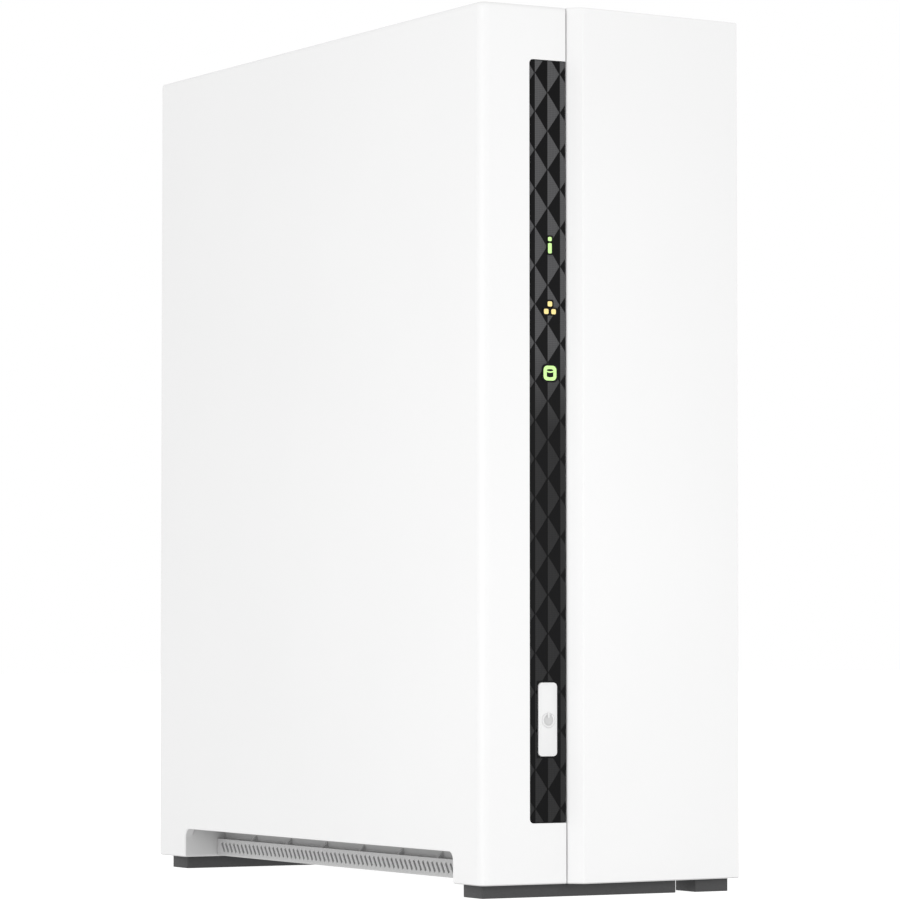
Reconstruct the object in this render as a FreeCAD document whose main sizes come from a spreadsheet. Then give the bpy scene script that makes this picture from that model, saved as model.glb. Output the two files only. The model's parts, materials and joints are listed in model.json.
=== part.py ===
"""Desktop network attached storage with one drive bay: an assembly of separate pieces.

Frame: origin on the table under the middle of the case, +X right seen from the front, +Y to the back, +Z up.
All sizes are in millimetres and come from the spreadsheet Dims.
"""
import FreeCAD
import Part
import Sketcher
import math
import os
import re

from FreeCAD import Placement, Rotation, Vector

DIMENSIONS = {
    # case, outside
    "body_width": 65.0,
    "body_depth": 158.0,
    "body_height": 188.6,
    "foot_height": 2.8,
    "wall": 2.2,
    "front_wall": 3.0,
    "corner_round": 2.0,
    "top_round": 0.9,
    "base_round": 0.55,
    # seams and the wedge on the front
    "seam_x": -11.6,
    "seam_gap": 0.3,
    "strip_setback": 2.36,
    "chamfer_run": 2.65,
    "slab_taper": 3.57,
    "slab_back": 5.5,
    "slab_edge": 0.4,
    "base_seam_x": 19.8,
    "part_gap": 0.3,
    # side recess at the bottom
    "recess_front": -64.4,
    "recess_rear": 65.75,
    "recess_top": 9.5,
    "recess_corner": 2.0,
    "recess_lip": 0.5,
    "recess_wall": 2.0,
    "keel_left": -23.8,
    "keel_right": 19.4,
    "keel_base": 3.0,
    "keel_shoulder": 7.0,
    "keel_step": 2.0,
    "keel_wall": 1.6,
    "tray_floor": 1.1,
    "keel_edge": 0.5,
    "slot_low": 4.25,
    "slot_rise": 2.1,
    "slot_lean": 1.5,
    "slot_width": 0.75,
    "slot_pitch": 2.06,
    "slot_start": -62.2,
    "slot_count": 61,
    "intake_pitch": 5.0,
    "intake_width": 2.4,
    "intake_count": 24,
    # rubber bars
    "foot_front_y": -73.76,
    "foot_rear_y": 67.8,
    "foot_deep": 8.07,
    "foot_left": -30.6,
    "foot_break_left": 17.34,
    "foot_break_right": 22.19,
    "foot_right": 30.63,
    # black strip, lit icons and power button
    "strip_left": -20.6,
    "strip_base": 15.7,
    "strip_top": 177.0,
    "strip_thick": 1.4,
    "strip_corner": 0.9,
    "strip_sink": 0.06,
    "icon_x": -15.62,
    "status_z": 137.7,
    "status_wide": 0.95,
    "status_high": 3.55,
    "status_gap": 0.35,
    "lan_z": 124.42,
    "lan_square": 1.15,
    "lan_spread": 1.8,
    "disk_z": 110.55,
    "disk_wide": 3.2,
    "disk_high": 3.2,
    "icon_corner": 0.3,
    "disk_corner": 0.9,
    "button_left": -18.55,
    "button_right": -14.0,
    "button_base": 29.67,
    "button_top": 45.23,
    "button_corner": 0.9,
    "button_proud": 0.25,
    "button_gap": 0.3,
    "button_edge": 0.2,
    "button_flange": 1.7,
    "symbol_z": 37.3,
    "symbol_radius": 1.55,
    "symbol_line": 0.38,
    "symbol_depth": 0.25,
    # front board
    "front_board_y": -68.8,
    "front_board_thick": 1.2,
    "front_board_left": -27.0,
    "front_board_right": -13.0,
    "front_board_base": 24.0,
    "front_board_top": 146.0,
    "guide_left": -17.3,
    "guide_right": -14.3,
    "guide_half": 1.7,
    "guide_bar_front": -72.6,
    "guide_bar_back": -71.2,
    "led_half": 0.8,
    "led_thick": 0.7,
    "switch_half": 3.0,
    "switch_thick": 2.4,
    "plunger_radius": 1.6,
    "plunger_gap": 0.4,
    # drive frame
    "frame_left": -8.6,
    "sheet_thick": 1.2,
    "frame_front": -62.0,
    "frame_rear": 60.4,
    "frame_base": 12.5,
    "frame_top": 181.5,
    "boss_radius": 3.4,
    "boss_front": -58.0,
    "boss_rear": 56.6,
    "boss_low_front": 21.0,
    "boss_low_rear": 14.2,
    "boss_high": 177.6,
    "screw_radius": 1.4,
    "screw_head": 2.6,
    "screw_head_thick": 1.5,
    "screw_reach": 3.5,
    "screw_sink": 1.1,
    # hard drive
    "drive_left": -6.5,
    "drive_thick": 26.1,
    "drive_wide": 101.6,
    "drive_long": 147.0,
    "drive_base": 26.0,
    "drive_lift": 9.0,
    "drive_hole_low": 28.5,
    "drive_hole_high": 130.1,
    "drive_hole_side": 6.35,
    "drive_screw_radius": 1.75,
    "drive_screw_head": 3.3,
    "ear_gap": 0.5,
    "ear_right": 4.5,
    "drive_rail": 1.6,
    "drive_floor": 5.4,
    "lid_thick": 0.7,
    "spindle_z": 122.5,
    "platter_radius": 47.5,
    "platter_thick": 1.27,
    "platter_pitch": 5.0,
    "platter_first": 5.0,
    "hub_radius": 12.5,
    "shaft_radius": 2.5,
    "running_gap": 0.05,
    "pivot_y": 16.0,
    "pivot_z": 62.0,
    "arm_long": 44.0,
    "arm_park": 156.8,
    "barrel_radius": 6.0,
    "blade_thick": 1.0,
    "coil_long": 15.0,
    "coil_half": 6.0,
    # socket under the drive
    "plug_near": -32.0,
    "plug_far": 10.0,
    "plug_high": 11.5,
    "backplane_z": 14.5,
    "board_thick": 1.6,
    "plug_left": -4.8,
    "plug_right": 0.1,
    "tongue_thick": 1.2,
    "shelf_front": -40.0,
    "shelf_rear": 32.0,
    "shelf_right": 13.0,
    "window_front": -36.0,
    "window_rear": 36.0,
    "window_base": 72.0,
    "window_top": 158.0,
    "magnet_front": 23.5,
    "magnet_rear": 43.5,
    "magnet_base": 45.0,
    "magnet_top": 56.0,
    # mainboard
    "mainboard_x": -24.0,
    "mainboard_front": -45.0,
    "mainboard_rear": 73.5,
    "mainboard_base": 19.0,
    "mainboard_top": 121.0,
    "heatsink_front": -18.0,
    "heatsink_rear": 17.0,
    "heatsink_base": 70.0,
    "heatsink_top": 105.0,
    "heatsink_plate": 2.0,
    "heatsink_high": 10.0,
    "fin_pitch": 3.7,
    "fin_thick": 1.1,
    "fin_count": 10,
    "can_radius": 3.1,
    "can_base": 0.8,
    "can_high": 7.2,
    "cell_y": -28.0,
    "cell_z": 38.0,
    "cell_radius": 10.0,
    "cell_wall": 1.6,
    "buzzer_y": 22.0,
    "buzzer_z": 113.0,
    "buzzer_radius": 6.0,
    "jack_end": 78.3,
    "reset_rise": 1.8,
    # rear panel and fan
    "panel_front": 76.3,
    "panel_thick": 2.2,
    "panel_right": 29.8,
    "fan_z": 151.0,
    "fan_size": 50.0,
    "fan_thick": 15.0,
    "fan_bore": 23.8,
    "fan_hole_spread": 20.0,
    "fan_hub": 12.0,
    "fan_blade_tip": 23.0,
    "fan_shaft": 1.0,
    "grille_rib": 1.5,
    "grille_slot": 2.6,
    "cover_screw_x": 27.3,
    "cover_screw_low": 30.0,
    "cover_screw_high": 112.0,
}

# Pieces that stand on the mainboard: middle (y, z), size along y and z, and height above the board.
BOARD_PIECES = {
    "processor": (-0.5, 87.5, 19.0, 19.0, 1.4),
    "memory_low": (-30.5, 68.5, 11.0, 13.0, 1.1),
    "memory_high": (-30.5, 87.5, 11.0, 13.0, 1.1),
    "network_transformer": (43.0, 47.0, 14.0, 14.5, 6.2),
    "inductor_a": (24.0, 31.0, 7.0, 7.0, 4.2),
    "inductor_b": (14.0, 31.0, 7.0, 7.0, 4.2),
    "inductor_c": (4.0, 31.0, 7.0, 7.0, 4.2),
    "board_header": (-4.0, 19.5, 40.0, 5.6, 6.0),
    "ribbon_header": (-41.0, 58.0, 5.0, 15.0, 5.0),
    "fan_plug": (38.0, 112.0, 7.0, 10.0, 6.5),
    "reset_switch": (71.0, 100.0, 5.0, 6.0, 3.6),
}
PIECE_FIELDS = ("y", "z", "deep", "high", "rise")

# Plug sockets on the rear edge of the mainboard: lowest and highest z, and height above the board.
SOCKETS = {
    "dc": (23.0, 33.0, 11.0),
    "lan": (38.0, 54.2, 13.3),
    "usb_low": (60.0, 73.1, 6.2),
    "usb_high": (79.0, 92.1, 6.2),
}
SOCKET_FIELDS = ("base", "top", "rise")

# Holes for the mainboard's screws, and the middles of its capacitors, as (y, z).
BOARD_HOLES = (("-40", "24.5"), ("-40", "115.5"), ("56", "115.5"), ("50", "24.5"))
CAPACITORS = ((58.5, 31), (50, 33.5), (41, 31), (33, 31), (30, 60), (30, 69))

# Fronts of the cover's hooks, bases of its ribs, and the middles of the drive lid's screws.
HOOK_FRONTS = (-66.0, -20.0, 26.0, 66.0)
RIB_BASES = (52.0, 92.0, 132.0, 166.0)
LID_SCREWS = ((-46, 34), (46, 34), (-46, 100), (46, 100), (-43, 167), (43, 167))

LEFT = "-body_width/2"
RIGHT = "body_width/2"
FRONT = "-body_depth/2"
BACK = "body_depth/2"
STRIP = "-body_depth/2 + strip_setback"
STRIP_BACK = "-body_depth/2 + strip_setback + front_wall"
SLAB_BACK = "-body_depth/2 + slab_back"
COVER_FRONT = "-body_depth/2 + slab_back + 0.1"
INNER_LEFT = "-body_width/2 + wall"
INNER_RIGHT = "body_width/2 - wall"
INNER_TOP = "body_height - wall"
FLOOR = "foot_height + wall"
SHELL_END = "seam_x - seam_gap/2"
COVER_START = "seam_x + seam_gap/2"
BASE_END = "base_seam_x - seam_gap/2"
COVER_BASE_START = "base_seam_x + seam_gap/2"
FRAME_RIGHT = "frame_left + sheet_thick"
DRIVE_RIGHT = "drive_left + drive_thick"
DRIVE_TOP = "drive_base + drive_long"
PANEL_BACK = "panel_front + panel_thick"
FAN_FRONT = "panel_front - 0.1 - fan_thick"

AXIS_TURN = {
    "x": Rotation(Vector(0, 1, 0), 90),
    "y": Rotation(Vector(1, 0, 0), -90),
    "z": Rotation(),
}

doc = FreeCAD.newDocument("NetworkStorage")
sheet = doc.addObject("Spreadsheet::Sheet", "Dims")
nodes = {}


def fill_sheet():
    values = dict(DIMENSIONS)
    for name, numbers in BOARD_PIECES.items():
        values.update({f"{name}_{field}": number for field, number in zip(PIECE_FIELDS, numbers)})
    for name, numbers in SOCKETS.items():
        values.update({f"{name}_{field}": number for field, number in zip(SOCKET_FIELDS, numbers)})
    for row, (name, number) in enumerate(values.items(), 1):
        sheet.set(f"A{row}", name)
        sheet.set(f"B{row}", str(number))
        sheet.setAlias(f"B{row}", name)
    doc.recompute()
    return values


VALUES = fill_sheet()
ALIAS = re.compile(r"\b(" + "|".join(sorted(VALUES, key=len, reverse=True)) + r")\b")


def formula(text):
    """An expression on the sheet's aliases, as FreeCAD reads it."""
    return ALIAS.sub(r"Dims.\1", str(text))


def number(text):
    """The value of such an expression, in millimetres."""
    return float(sheet.evalExpression(formula(text)))


def bind(item, field, text):
    item.setExpression(field, formula(text))


def box(low, high):
    """A block between two corners."""
    item = doc.addObject("Part::Box", "Block")
    for size, axis, start, end in zip(("Length", "Width", "Height"), "xyz", low, high):
        bind(item, size, f"({end}) - ({start})")
        bind(item, f"Placement.Base.{axis}", start)
    return item


def rod(axis, centre, radius, start, end):
    """A cylinder along an axis; centre gives the other two coordinates in x, y, z order."""
    item = doc.addObject("Part::Cylinder", "Rod")
    item.Placement = Placement(Vector(), AXIS_TURN[axis])
    bind(item, "Radius", radius)
    bind(item, "Height", f"({end}) - ({start})")
    place = dict(zip("xyz".replace(axis, ""), centre))
    place[axis] = start
    for name in "xyz":
        bind(item, f"Placement.Base.{name}", place[name])
    return item


def join(*items):
    if len(items) == 1:
        return items[0]
    item = doc.addObject("Part::MultiFuse", "Joined")
    item.Shapes = list(items)
    return item


def cut(base, *tools):
    item = doc.addObject("Part::Cut", "Cut")
    item.Base = base
    item.Tool = join(*tools)
    return item


def group(*items):
    """Separate solids kept in one object."""
    item = doc.addObject("Part::Compound", "Group")
    item.Links = list(items)
    return item


def rounded(item, radius, chosen):
    """Rounds the edges for which chosen(edge) is true."""
    doc.recompute()
    size = VALUES[radius]
    found = [(n, size, size) for n, edge in enumerate(item.Shape.Edges, 1) if chosen(edge)]
    result = doc.addObject("Part::Fillet", "Rounded")
    result.Base = item
    result.Edges = found
    return result


def runs_along(axis, low=None, high=None):
    """A test for straight edges along an axis whose middle lies between two corners."""
    way = {"x": Vector(1, 0, 0), "y": Vector(0, 1, 0), "z": Vector(0, 0, 1)}[axis]
    far = 1000.0
    low = low or (-far, -far, -far)
    high = high or (far, far, far)

    def test(edge):
        ends = edge.Vertexes
        if len(ends) < 2:
            return False
        span = ends[-1].Point - ends[0].Point
        if span.Length < 1e-6 or abs(abs(span.dot(way)) - span.Length) > 1e-6:
            return False
        middle = (ends[-1].Point + ends[0].Point) * 0.5
        return all(a - 0.01 <= m <= b + 0.01 for a, m, b in zip(low, middle, high))

    return test


def rounded_bar(axis, low, high, radius):
    """A block whose four edges along one axis are rounded."""
    return rounded(box(low, high), radius, runs_along(axis))


def profile(name, plane, points, start, length):
    """A PartDesign body: one closed outline of straight lines, padded from start by length."""
    body = doc.addObject("PartDesign::Body", name)
    sketch = body.newObject("Sketcher::SketchObject", name + "_outline")
    origin = next(o for o in body.Origin.OriginFeatures if o.Role == plane)
    sketch.AttachmentSupport = [(origin, "")]
    sketch.MapMode = "FlatFace"
    bind(sketch, "AttachmentOffset.Base.z", start)
    corners = [tuple(number(c) for c in point) for point in points]
    for k, (u, v) in enumerate(corners):
        u2, v2 = corners[(k + 1) % len(corners)]
        sketch.addGeometry(Part.LineSegment(Vector(u, v, 0), Vector(u2, v2, 0)))
    for k in range(len(corners)):
        sketch.addConstraint(Sketcher.Constraint("Coincident", k, 2, (k + 1) % len(corners), 1))
    for k, point in enumerate(points):
        for kind, text, number_now in zip(("DistanceX", "DistanceY"), point, corners[k]):
            index = sketch.addConstraint(Sketcher.Constraint(kind, -1, 1, k, 1, number_now))
            sketch.setExpression(f"Constraints[{index}]", formula(text))
    pad = body.newObject("PartDesign::Pad", name + "_pad")
    pad.Profile = sketch
    bind(pad, "Length", length)
    body.Tip = pad
    doc.recompute()
    return body


def node(name, item):
    item.Label = name
    nodes[name] = item
    return item


# ---------------------------------------------------------------- case

def recess_cutter(low_x, high_x):
    """The side recess as a block with rounded upper corners, open below."""
    return rounded(
        box((low_x, "recess_front", "foot_height - 5"), (high_x, "recess_rear", "recess_top")),
        "recess_corner",
        runs_along("x", low=(-99, -99, VALUES["recess_top"] - 1), high=(99, 99, 99)),
    )


def recess_ends(low_x, high_x):
    """The two walls that close the recess at the front and the back."""
    top = "recess_top + recess_wall"
    front = box((low_x, "recess_front - recess_wall", FLOOR), (high_x, "recess_front", top))
    rear = box((low_x, "recess_rear", FLOOR), (high_x, "recess_rear + recess_wall", top))
    return front, rear


def recess_roof(low_x, high_x):
    return box(
        (low_x, "recess_front - recess_wall", "recess_top"),
        (high_x, "recess_rear + recess_wall", "recess_top + recess_wall"),
    )


def lip_edges(x_side):
    """The edges of the recess opening on the outer face of a side wall."""
    low_z = VALUES["foot_height"] + 0.1

    def test(edge):
        bounds = edge.BoundBox
        on_face = abs(bounds.XMin - x_side) < 0.01 and abs(bounds.XMax - x_side) < 0.01
        inside = bounds.YMin > VALUES["recess_front"] - 0.1 and bounds.YMax < VALUES["recess_rear"] + 0.1
        return on_face and inside and bounds.ZMax < VALUES["recess_top"] + 0.1 and bounds.ZMax > low_z

    return test


def left_shell():
    low_x = -VALUES["body_width"] / 2
    block = box((LEFT, STRIP, "foot_height"), (SHELL_END, BACK, "body_height"))
    block = rounded(block, "corner_round", runs_along("z", (-99, -99, -99), (low_x + 0.1, -70, 999)))
    top = VALUES["body_height"]
    base = VALUES["foot_height"]
    end_x = number(SHELL_END) - 0.1

    def outer_rim(level):
        def test(edge):
            bounds = edge.BoundBox
            level_edge = abs(bounds.ZMin - level) < 0.01 and abs(bounds.ZMax - level) < 0.01
            return level_edge and bounds.XMin < end_x and bounds.YMin < VALUES["body_depth"] / 2 - 0.1
        return test

    block = rounded(block, "top_round", outer_rim(top))
    block = rounded(block, "base_round", outer_rim(base))
    hollow = box((INNER_LEFT, STRIP_BACK, FLOOR), ("seam_x + 5", f"{BACK} + 5", INNER_TOP))
    window = rounded(
        box(("strip_left - 0.05", f"{STRIP} - 5", "strip_base - 0.05"),
            ("seam_x + 5", f"{STRIP} + strip_thick + strip_sink", "strip_top + 0.05")),
        "strip_corner",
        runs_along("y", high=(VALUES["strip_left"], 99, 999)),
    )
    shell = cut(block, hollow, window, recess_cutter(f"{LEFT} - 5", "seam_x + 5"))
    shell = rounded(shell, "recess_lip", lip_edges(low_x))
    floor_front = box(
        (f"{SHELL_END} - 2", f"{SLAB_BACK} + part_gap", "foot_height"),
        (BASE_END, "recess_front", FLOOR),
    )
    floor_rear = box((f"{SHELL_END} - 2", "recess_rear", "foot_height"), (BASE_END, BACK, FLOOR))
    tongue_root = box((f"{SHELL_END} - 2", f"{STRIP_BACK} + 2", "body_height - wall - 2"),
                      (SHELL_END, f"{BACK} - 3", INNER_TOP))
    tongue = box((f"{SHELL_END} - 2", f"{STRIP_BACK} + 2", "body_height - wall - 2"),
                 ("seam_x + 2.6", f"{BACK} - 3", "body_height - wall - part_gap"))
    trap_root = box((f"{SHELL_END} - 1.6", f"{STRIP_BACK} - 0.2", f"{FLOOR} + 1"),
                    (SHELL_END, f"{STRIP_BACK} + 1.8", "frame_top + part_gap"))
    trap = box((f"{SHELL_END} - 0.2", f"{SLAB_BACK} + part_gap", f"{FLOOR} + 1"),
               ("seam_x + 2.6", f"{STRIP_BACK} + 1.8", "frame_top + part_gap"))
    board_bosses = [
        rod("x", (y, z), "boss_radius - 0.4", f"{INNER_LEFT} - 0.5", "mainboard_x - board_thick")
        for y, z in BOARD_HOLES
    ]
    frame_bosses = [
        rod("x", (y, z), "boss_radius", f"{INNER_LEFT} - 0.5", "frame_left")
        for y, z in frame_holes()
    ]
    panel_bosses = [
        rod("y", (x, z), "boss_radius - 0.4", "panel_front - 9", "panel_front - 0.05")
        for x, z in panel_holes()
    ]
    shell = join(
        shell, floor_front, floor_rear, tongue_root, tongue, trap_root, trap,
        recess_roof(f"{INNER_LEFT} - 0.5", "keel_left + 3.8"),
        recess_roof("keel_right - 3.4", BASE_END),
        *recess_ends(f"{INNER_LEFT} - 0.5", BASE_END),
        *board_bosses, *frame_bosses, *panel_bosses,
    )
    holes = [
        rod("x", (y, z), "screw_radius", "mainboard_x - board_thick - screw_reach", "mainboard_x")
        for y, z in BOARD_HOLES
    ]
    holes += [
        rod("x", (y, z), "screw_radius", "frame_left - screw_reach", "frame_left + 1")
        for y, z in frame_holes()
    ]
    holes += [
        rod("y", (x, z), "screw_radius", "panel_front - screw_reach", "panel_front + 1")
        for x, z in panel_holes()
    ]
    return cut(shell, *holes, button_opening(), *guide_openings())


def frame_holes():
    return (
        ("boss_front", "boss_low_front"), ("boss_front", "boss_high"),
        ("boss_rear", "boss_low_rear"), ("boss_rear", "boss_high"),
    )


def panel_holes():
    return ((f"{INNER_LEFT} + 2.9", f"{FLOOR} + 10"), (f"{INNER_LEFT} + 2.9", f"{INNER_TOP} - 5"))


def button_opening():
    return rounded_bar(
        "y",
        ("button_left - button_gap", f"{STRIP} - 2", "button_base - button_gap"),
        ("button_right + button_gap", f"{STRIP_BACK} + 4", "button_top + button_gap"),
        "button_corner",
    )


def guide_openings():
    return [
        box(("guide_left - 0.1", f"{STRIP} + strip_thick", f"{z} - guide_half - 0.1"),
            ("guide_right + 0.1", f"{STRIP_BACK} + 1", f"{z} + guide_half + 0.1"))
        for z in ("status_z", "lan_z", "disk_z")
    ]


def right_cover():
    high_x = VALUES["body_width"] / 2
    block = box((COVER_START, COVER_FRONT, "foot_height"), (RIGHT, BACK, "body_height"))

    def outer_rim(level):
        def test(edge):
            bounds = edge.BoundBox
            level_edge = abs(bounds.ZMin - level) < 0.01 and abs(bounds.ZMax - level) < 0.01
            return level_edge and bounds.XMin > high_x - 0.1
        return test

    block = rounded(block, "top_round", outer_rim(VALUES["body_height"]))
    block = rounded(block, "base_round", outer_rim(VALUES["foot_height"]))
    hollow = box((f"{COVER_START} - 5", f"{COVER_FRONT} + 1.8", FLOOR),
                 (INNER_RIGHT, f"{BACK} + 5", INNER_TOP))
    lower_left = box((f"{COVER_START} - 5", f"{COVER_FRONT} - 5", "foot_height - 5"),
                     (COVER_BASE_START, f"{BACK} + 5", f"{FLOOR} + part_gap"))
    front_left = box((f"{COVER_START} - 5", f"{COVER_FRONT} - 5", "foot_height - 5"),
                     ("seam_x + 3", f"{COVER_FRONT} + 1.8", INNER_TOP))
    window = box(("2", f"{COVER_FRONT} - 5", "22"), ("22", f"{COVER_FRONT} + 5", "170"))
    cover = cut(block, hollow, lower_left, front_left, window,
                recess_cutter(f"{COVER_BASE_START} - 5", f"{RIGHT} + 5"))
    cover = rounded(cover, "recess_lip", lip_edges(high_x))
    hooks = []
    hook_base = "body_height - wall - 3.8"
    for y in HOOK_FRONTS:
        hooks.append(box(("seam_x + 3", y, hook_base), ("seam_x + 4.4", y + 8, f"{INNER_TOP} + 0.5")))
        hooks.append(box(("seam_x + 0.3", y, hook_base), ("seam_x + 4.4", y + 8, f"{hook_base} + 1.4")))
    lugs = [
        box(("cover_screw_x - 2.1", "panel_front - 6", f"{z} - 3.5"),
            (f"{INNER_RIGHT} + 0.5", "panel_front - 0.3", f"{z} + 3.5"))
        for z in ("cover_screw_low", "cover_screw_high")
    ]
    ribs = [
        box((f"{INNER_RIGHT} - 0.8", f"{COVER_FRONT} + 1", z),
            (f"{INNER_RIGHT} + 0.5", f"{BACK} - 9", z + 1.2))
        for z in RIB_BASES
    ]
    cover = join(
        cover,
        recess_roof(COVER_BASE_START, f"{INNER_RIGHT} + 0.5"),
        *recess_ends(COVER_BASE_START, f"{INNER_RIGHT} + 0.5"),
        *hooks, *lugs, *ribs,
    )
    holes = [
        rod("y", ("cover_screw_x", z), "screw_radius + 0.2", "panel_front - 7", "panel_front")
        for z in ("cover_screw_low", "cover_screw_high")
    ]
    return cut(cover, *holes)


def front_panel():
    points = (
        (COVER_START, STRIP),
        (f"{COVER_START} + chamfer_run", FRONT),
        (RIGHT, f"{FRONT} + slab_taper"),
        (RIGHT, SLAB_BACK),
        (COVER_START, SLAB_BACK),
    )
    body = profile("front_panel", "XY_Plane", points, "foot_height", "body_height - foot_height")
    pad = body.Tip
    rim = body.newObject("PartDesign::Fillet", "front_panel_rim")
    top = VALUES["body_height"]
    base = VALUES["foot_height"]
    edges = []
    for n, edge in enumerate(body.Shape.Edges, 1):
        bounds = edge.BoundBox
        level = min(abs(bounds.ZMin - z) + abs(bounds.ZMax - z) for z in (top, base))
        face_edge = bounds.YMin < number(STRIP) - 0.01 and bounds.YMax < number(STRIP) + 0.01
        face_edge = face_edge or (bounds.XLength > 40 and bounds.YMin < number(SLAB_BACK) - 1)
        straight_up = bounds.ZLength > 100
        on_right = bounds.XMin > VALUES["body_width"] / 2 - 0.01 and bounds.YMax < number(SLAB_BACK) - 1
        if (level < 0.01 and face_edge) or (straight_up and on_right):
            edges.append(f"Edge{n}")
    rim.Base = (pad, edges)
    bind(rim, "Radius", "slab_edge")
    body.Tip = rim
    return body


def keel_slots():
    """The slanted slots through both keel walls: their tops lean to the back."""
    lean = math.degrees(math.atan2(VALUES["slot_lean"], VALUES["slot_rise"]))
    slots = []
    for k in range(int(VALUES["slot_count"])):
        item = doc.addObject("Part::Box", "Slot")
        item.Placement = Placement(Vector(), Rotation(Vector(1, 0, 0), -lean))
        bind(item, "Length", "keel_right - keel_left + 4")
        bind(item, "Width", "slot_width")
        bind(item, "Height", "sqrt(slot_rise^2 + slot_lean^2)")
        bind(item, "Placement.Base.x", "keel_left - 2")
        bind(item, "Placement.Base.y", f"slot_start + {k}*slot_pitch")
        bind(item, "Placement.Base.z", "slot_low")
        slots.append(item)
    return group(*slots)


def vent_tray():
    front = "recess_front + 0.2"
    rear = "recess_rear - 0.2"
    floor = box(("keel_left", front, "keel_base"), ("keel_right", rear, "keel_base + tray_floor"))
    walls = []
    for near, far, step in (
        ("keel_left", "keel_left + keel_wall", "keel_left + keel_step"),
        ("keel_right", "keel_right - keel_wall", "keel_right - keel_step"),
    ):
        low, high = sorted((near, far), key=number)
        walls.append(box((low, front, "keel_base"), (high, rear, "keel_shoulder")))
        inner = f"{step} + keel_wall" if near == "keel_left" else f"{step} - keel_wall"
        low, high = sorted((near, inner), key=number)
        walls.append(box((low, front, "keel_shoulder - 0.6"), (high, rear, "keel_shoulder")))
        low, high = sorted((step, inner), key=number)
        walls.append(box((low, front, "keel_shoulder - 0.6"), (high, rear, "recess_top - 0.1")))
    ends = [
        box(("keel_left", front, "keel_base"), ("keel_right", f"{front} + keel_wall", "keel_shoulder")),
        box(("keel_left", f"{rear} - keel_wall", "keel_base"), ("keel_right", rear, "keel_shoulder")),
    ]
    intakes = []
    for k in range(int(VALUES["intake_count"])):
        near = f"recess_front + 6 + {k}*intake_pitch"
        intakes.append(box(("keel_left + 7", near, "keel_base - 1"),
                           ("keel_right - 6", f"{near} + intake_width", "keel_base + tray_floor + 0.01")))
    outer = (VALUES["keel_left"], VALUES["keel_right"])
    base = VALUES["keel_base"]

    def lower_edge(edge):
        bounds = edge.BoundBox
        on_side = min(abs(bounds.XMin - x) + abs(bounds.XMax - x) for x in outer) < 0.01
        return on_side and abs(bounds.ZMin - base) + abs(bounds.ZMax - base) < 0.01

    tray = rounded(join(floor, *walls, *ends), "keel_edge", lower_edge)
    return cut(tray, keel_slots(), *intakes)


def rubber_bar(low_x, high_x, low_y):
    return box((low_x, low_y, "0"), (high_x, f"{low_y} + foot_deep", "foot_height"))


# ---------------------------------------------------------------- rear panel

def grille_rings():
    """Ring slots in front of the fan, crossed by four spokes."""
    rings = []
    inner = VALUES["fan_hub"] - 1.5
    while inner + VALUES["grille_slot"] < VALUES["fan_bore"] + 0.1:
        outer = inner + VALUES["grille_slot"]
        rings.append(cut(
            rod("y", ("0", "fan_z"), outer, "panel_front - 1", f"{PANEL_BACK} + 1"),
            rod("y", ("0", "fan_z"), inner, "panel_front - 2", f"{PANEL_BACK} + 2"),
        ))
        inner = outer + VALUES["grille_rib"]
    spokes = []
    for turn in (45, 135):
        item = doc.addObject("Part::Box", "Spoke")
        spin = Rotation(Vector(0, 1, 0), turn)
        half = Vector(-30, 0, -1.1)
        item.Placement = Placement(spin.multVec(half) + Vector(0, 0, VALUES["fan_z"]), spin)
        item.Length = 60
        bind(item, "Width", "panel_thick + 6")
        item.Height = 2.2
        bind(item, "Placement.Base.y", "panel_front - 3")
        spokes.append(item)
    return cut(group(*rings), *spokes)


def socket_gap(name, margin):
    """The opening in the rear panel for a plug socket."""
    return box(("mainboard_x - " + margin, "panel_front - 1", f"{name}_base - {margin}"),
               (f"mainboard_x + {name}_rise + {margin}", f"{PANEL_BACK} + 1", f"{name}_top + {margin}"))


def fan_holes():
    spread = "fan_hole_spread"
    return [(f"{a}*{spread}", f"fan_z + {b}*{spread}") for a in (-1, 1) for b in (-1, 1)]


def rear_panel():
    plate = box((f"{INNER_LEFT} + 0.2", "panel_front", f"{FLOOR} + 0.2"),
                ("panel_right", PANEL_BACK, f"{INNER_TOP} - 0.2"))
    beyond = f"{PANEL_BACK} + 1"
    holes = [socket_gap(name, "0.3") for name in SOCKETS]
    holes.append(grille_rings())
    for x, z in list(fan_holes()) + list(panel_holes()) + list(cover_holes()):
        holes.append(rod("y", (x, z), "screw_radius + 0.15", "panel_front - 1", beyond))
        holes.append(rod("y", (x, z), "screw_head + 0.15", f"{PANEL_BACK} - screw_sink", beyond))
    holes.append(rod("y", (RESET_X, "reset_switch_z"), "1.1", "panel_front - 1", beyond))
    holes.append(rounded_bar("y", ("9", "panel_front - 1", "24"), ("12", beyond, "31"), "slab_edge"))
    low_vents = [
        box(("-4", "panel_front - 1", f"{z}"), ("18", f"{PANEL_BACK} + 1", f"{z} + 2.2"))
        for z in range(42, 100, 5)
    ]
    return cut(plate, *holes, *low_vents)


def cover_holes():
    return (("cover_screw_x", "cover_screw_low"), ("cover_screw_x", "cover_screw_high"))


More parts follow.
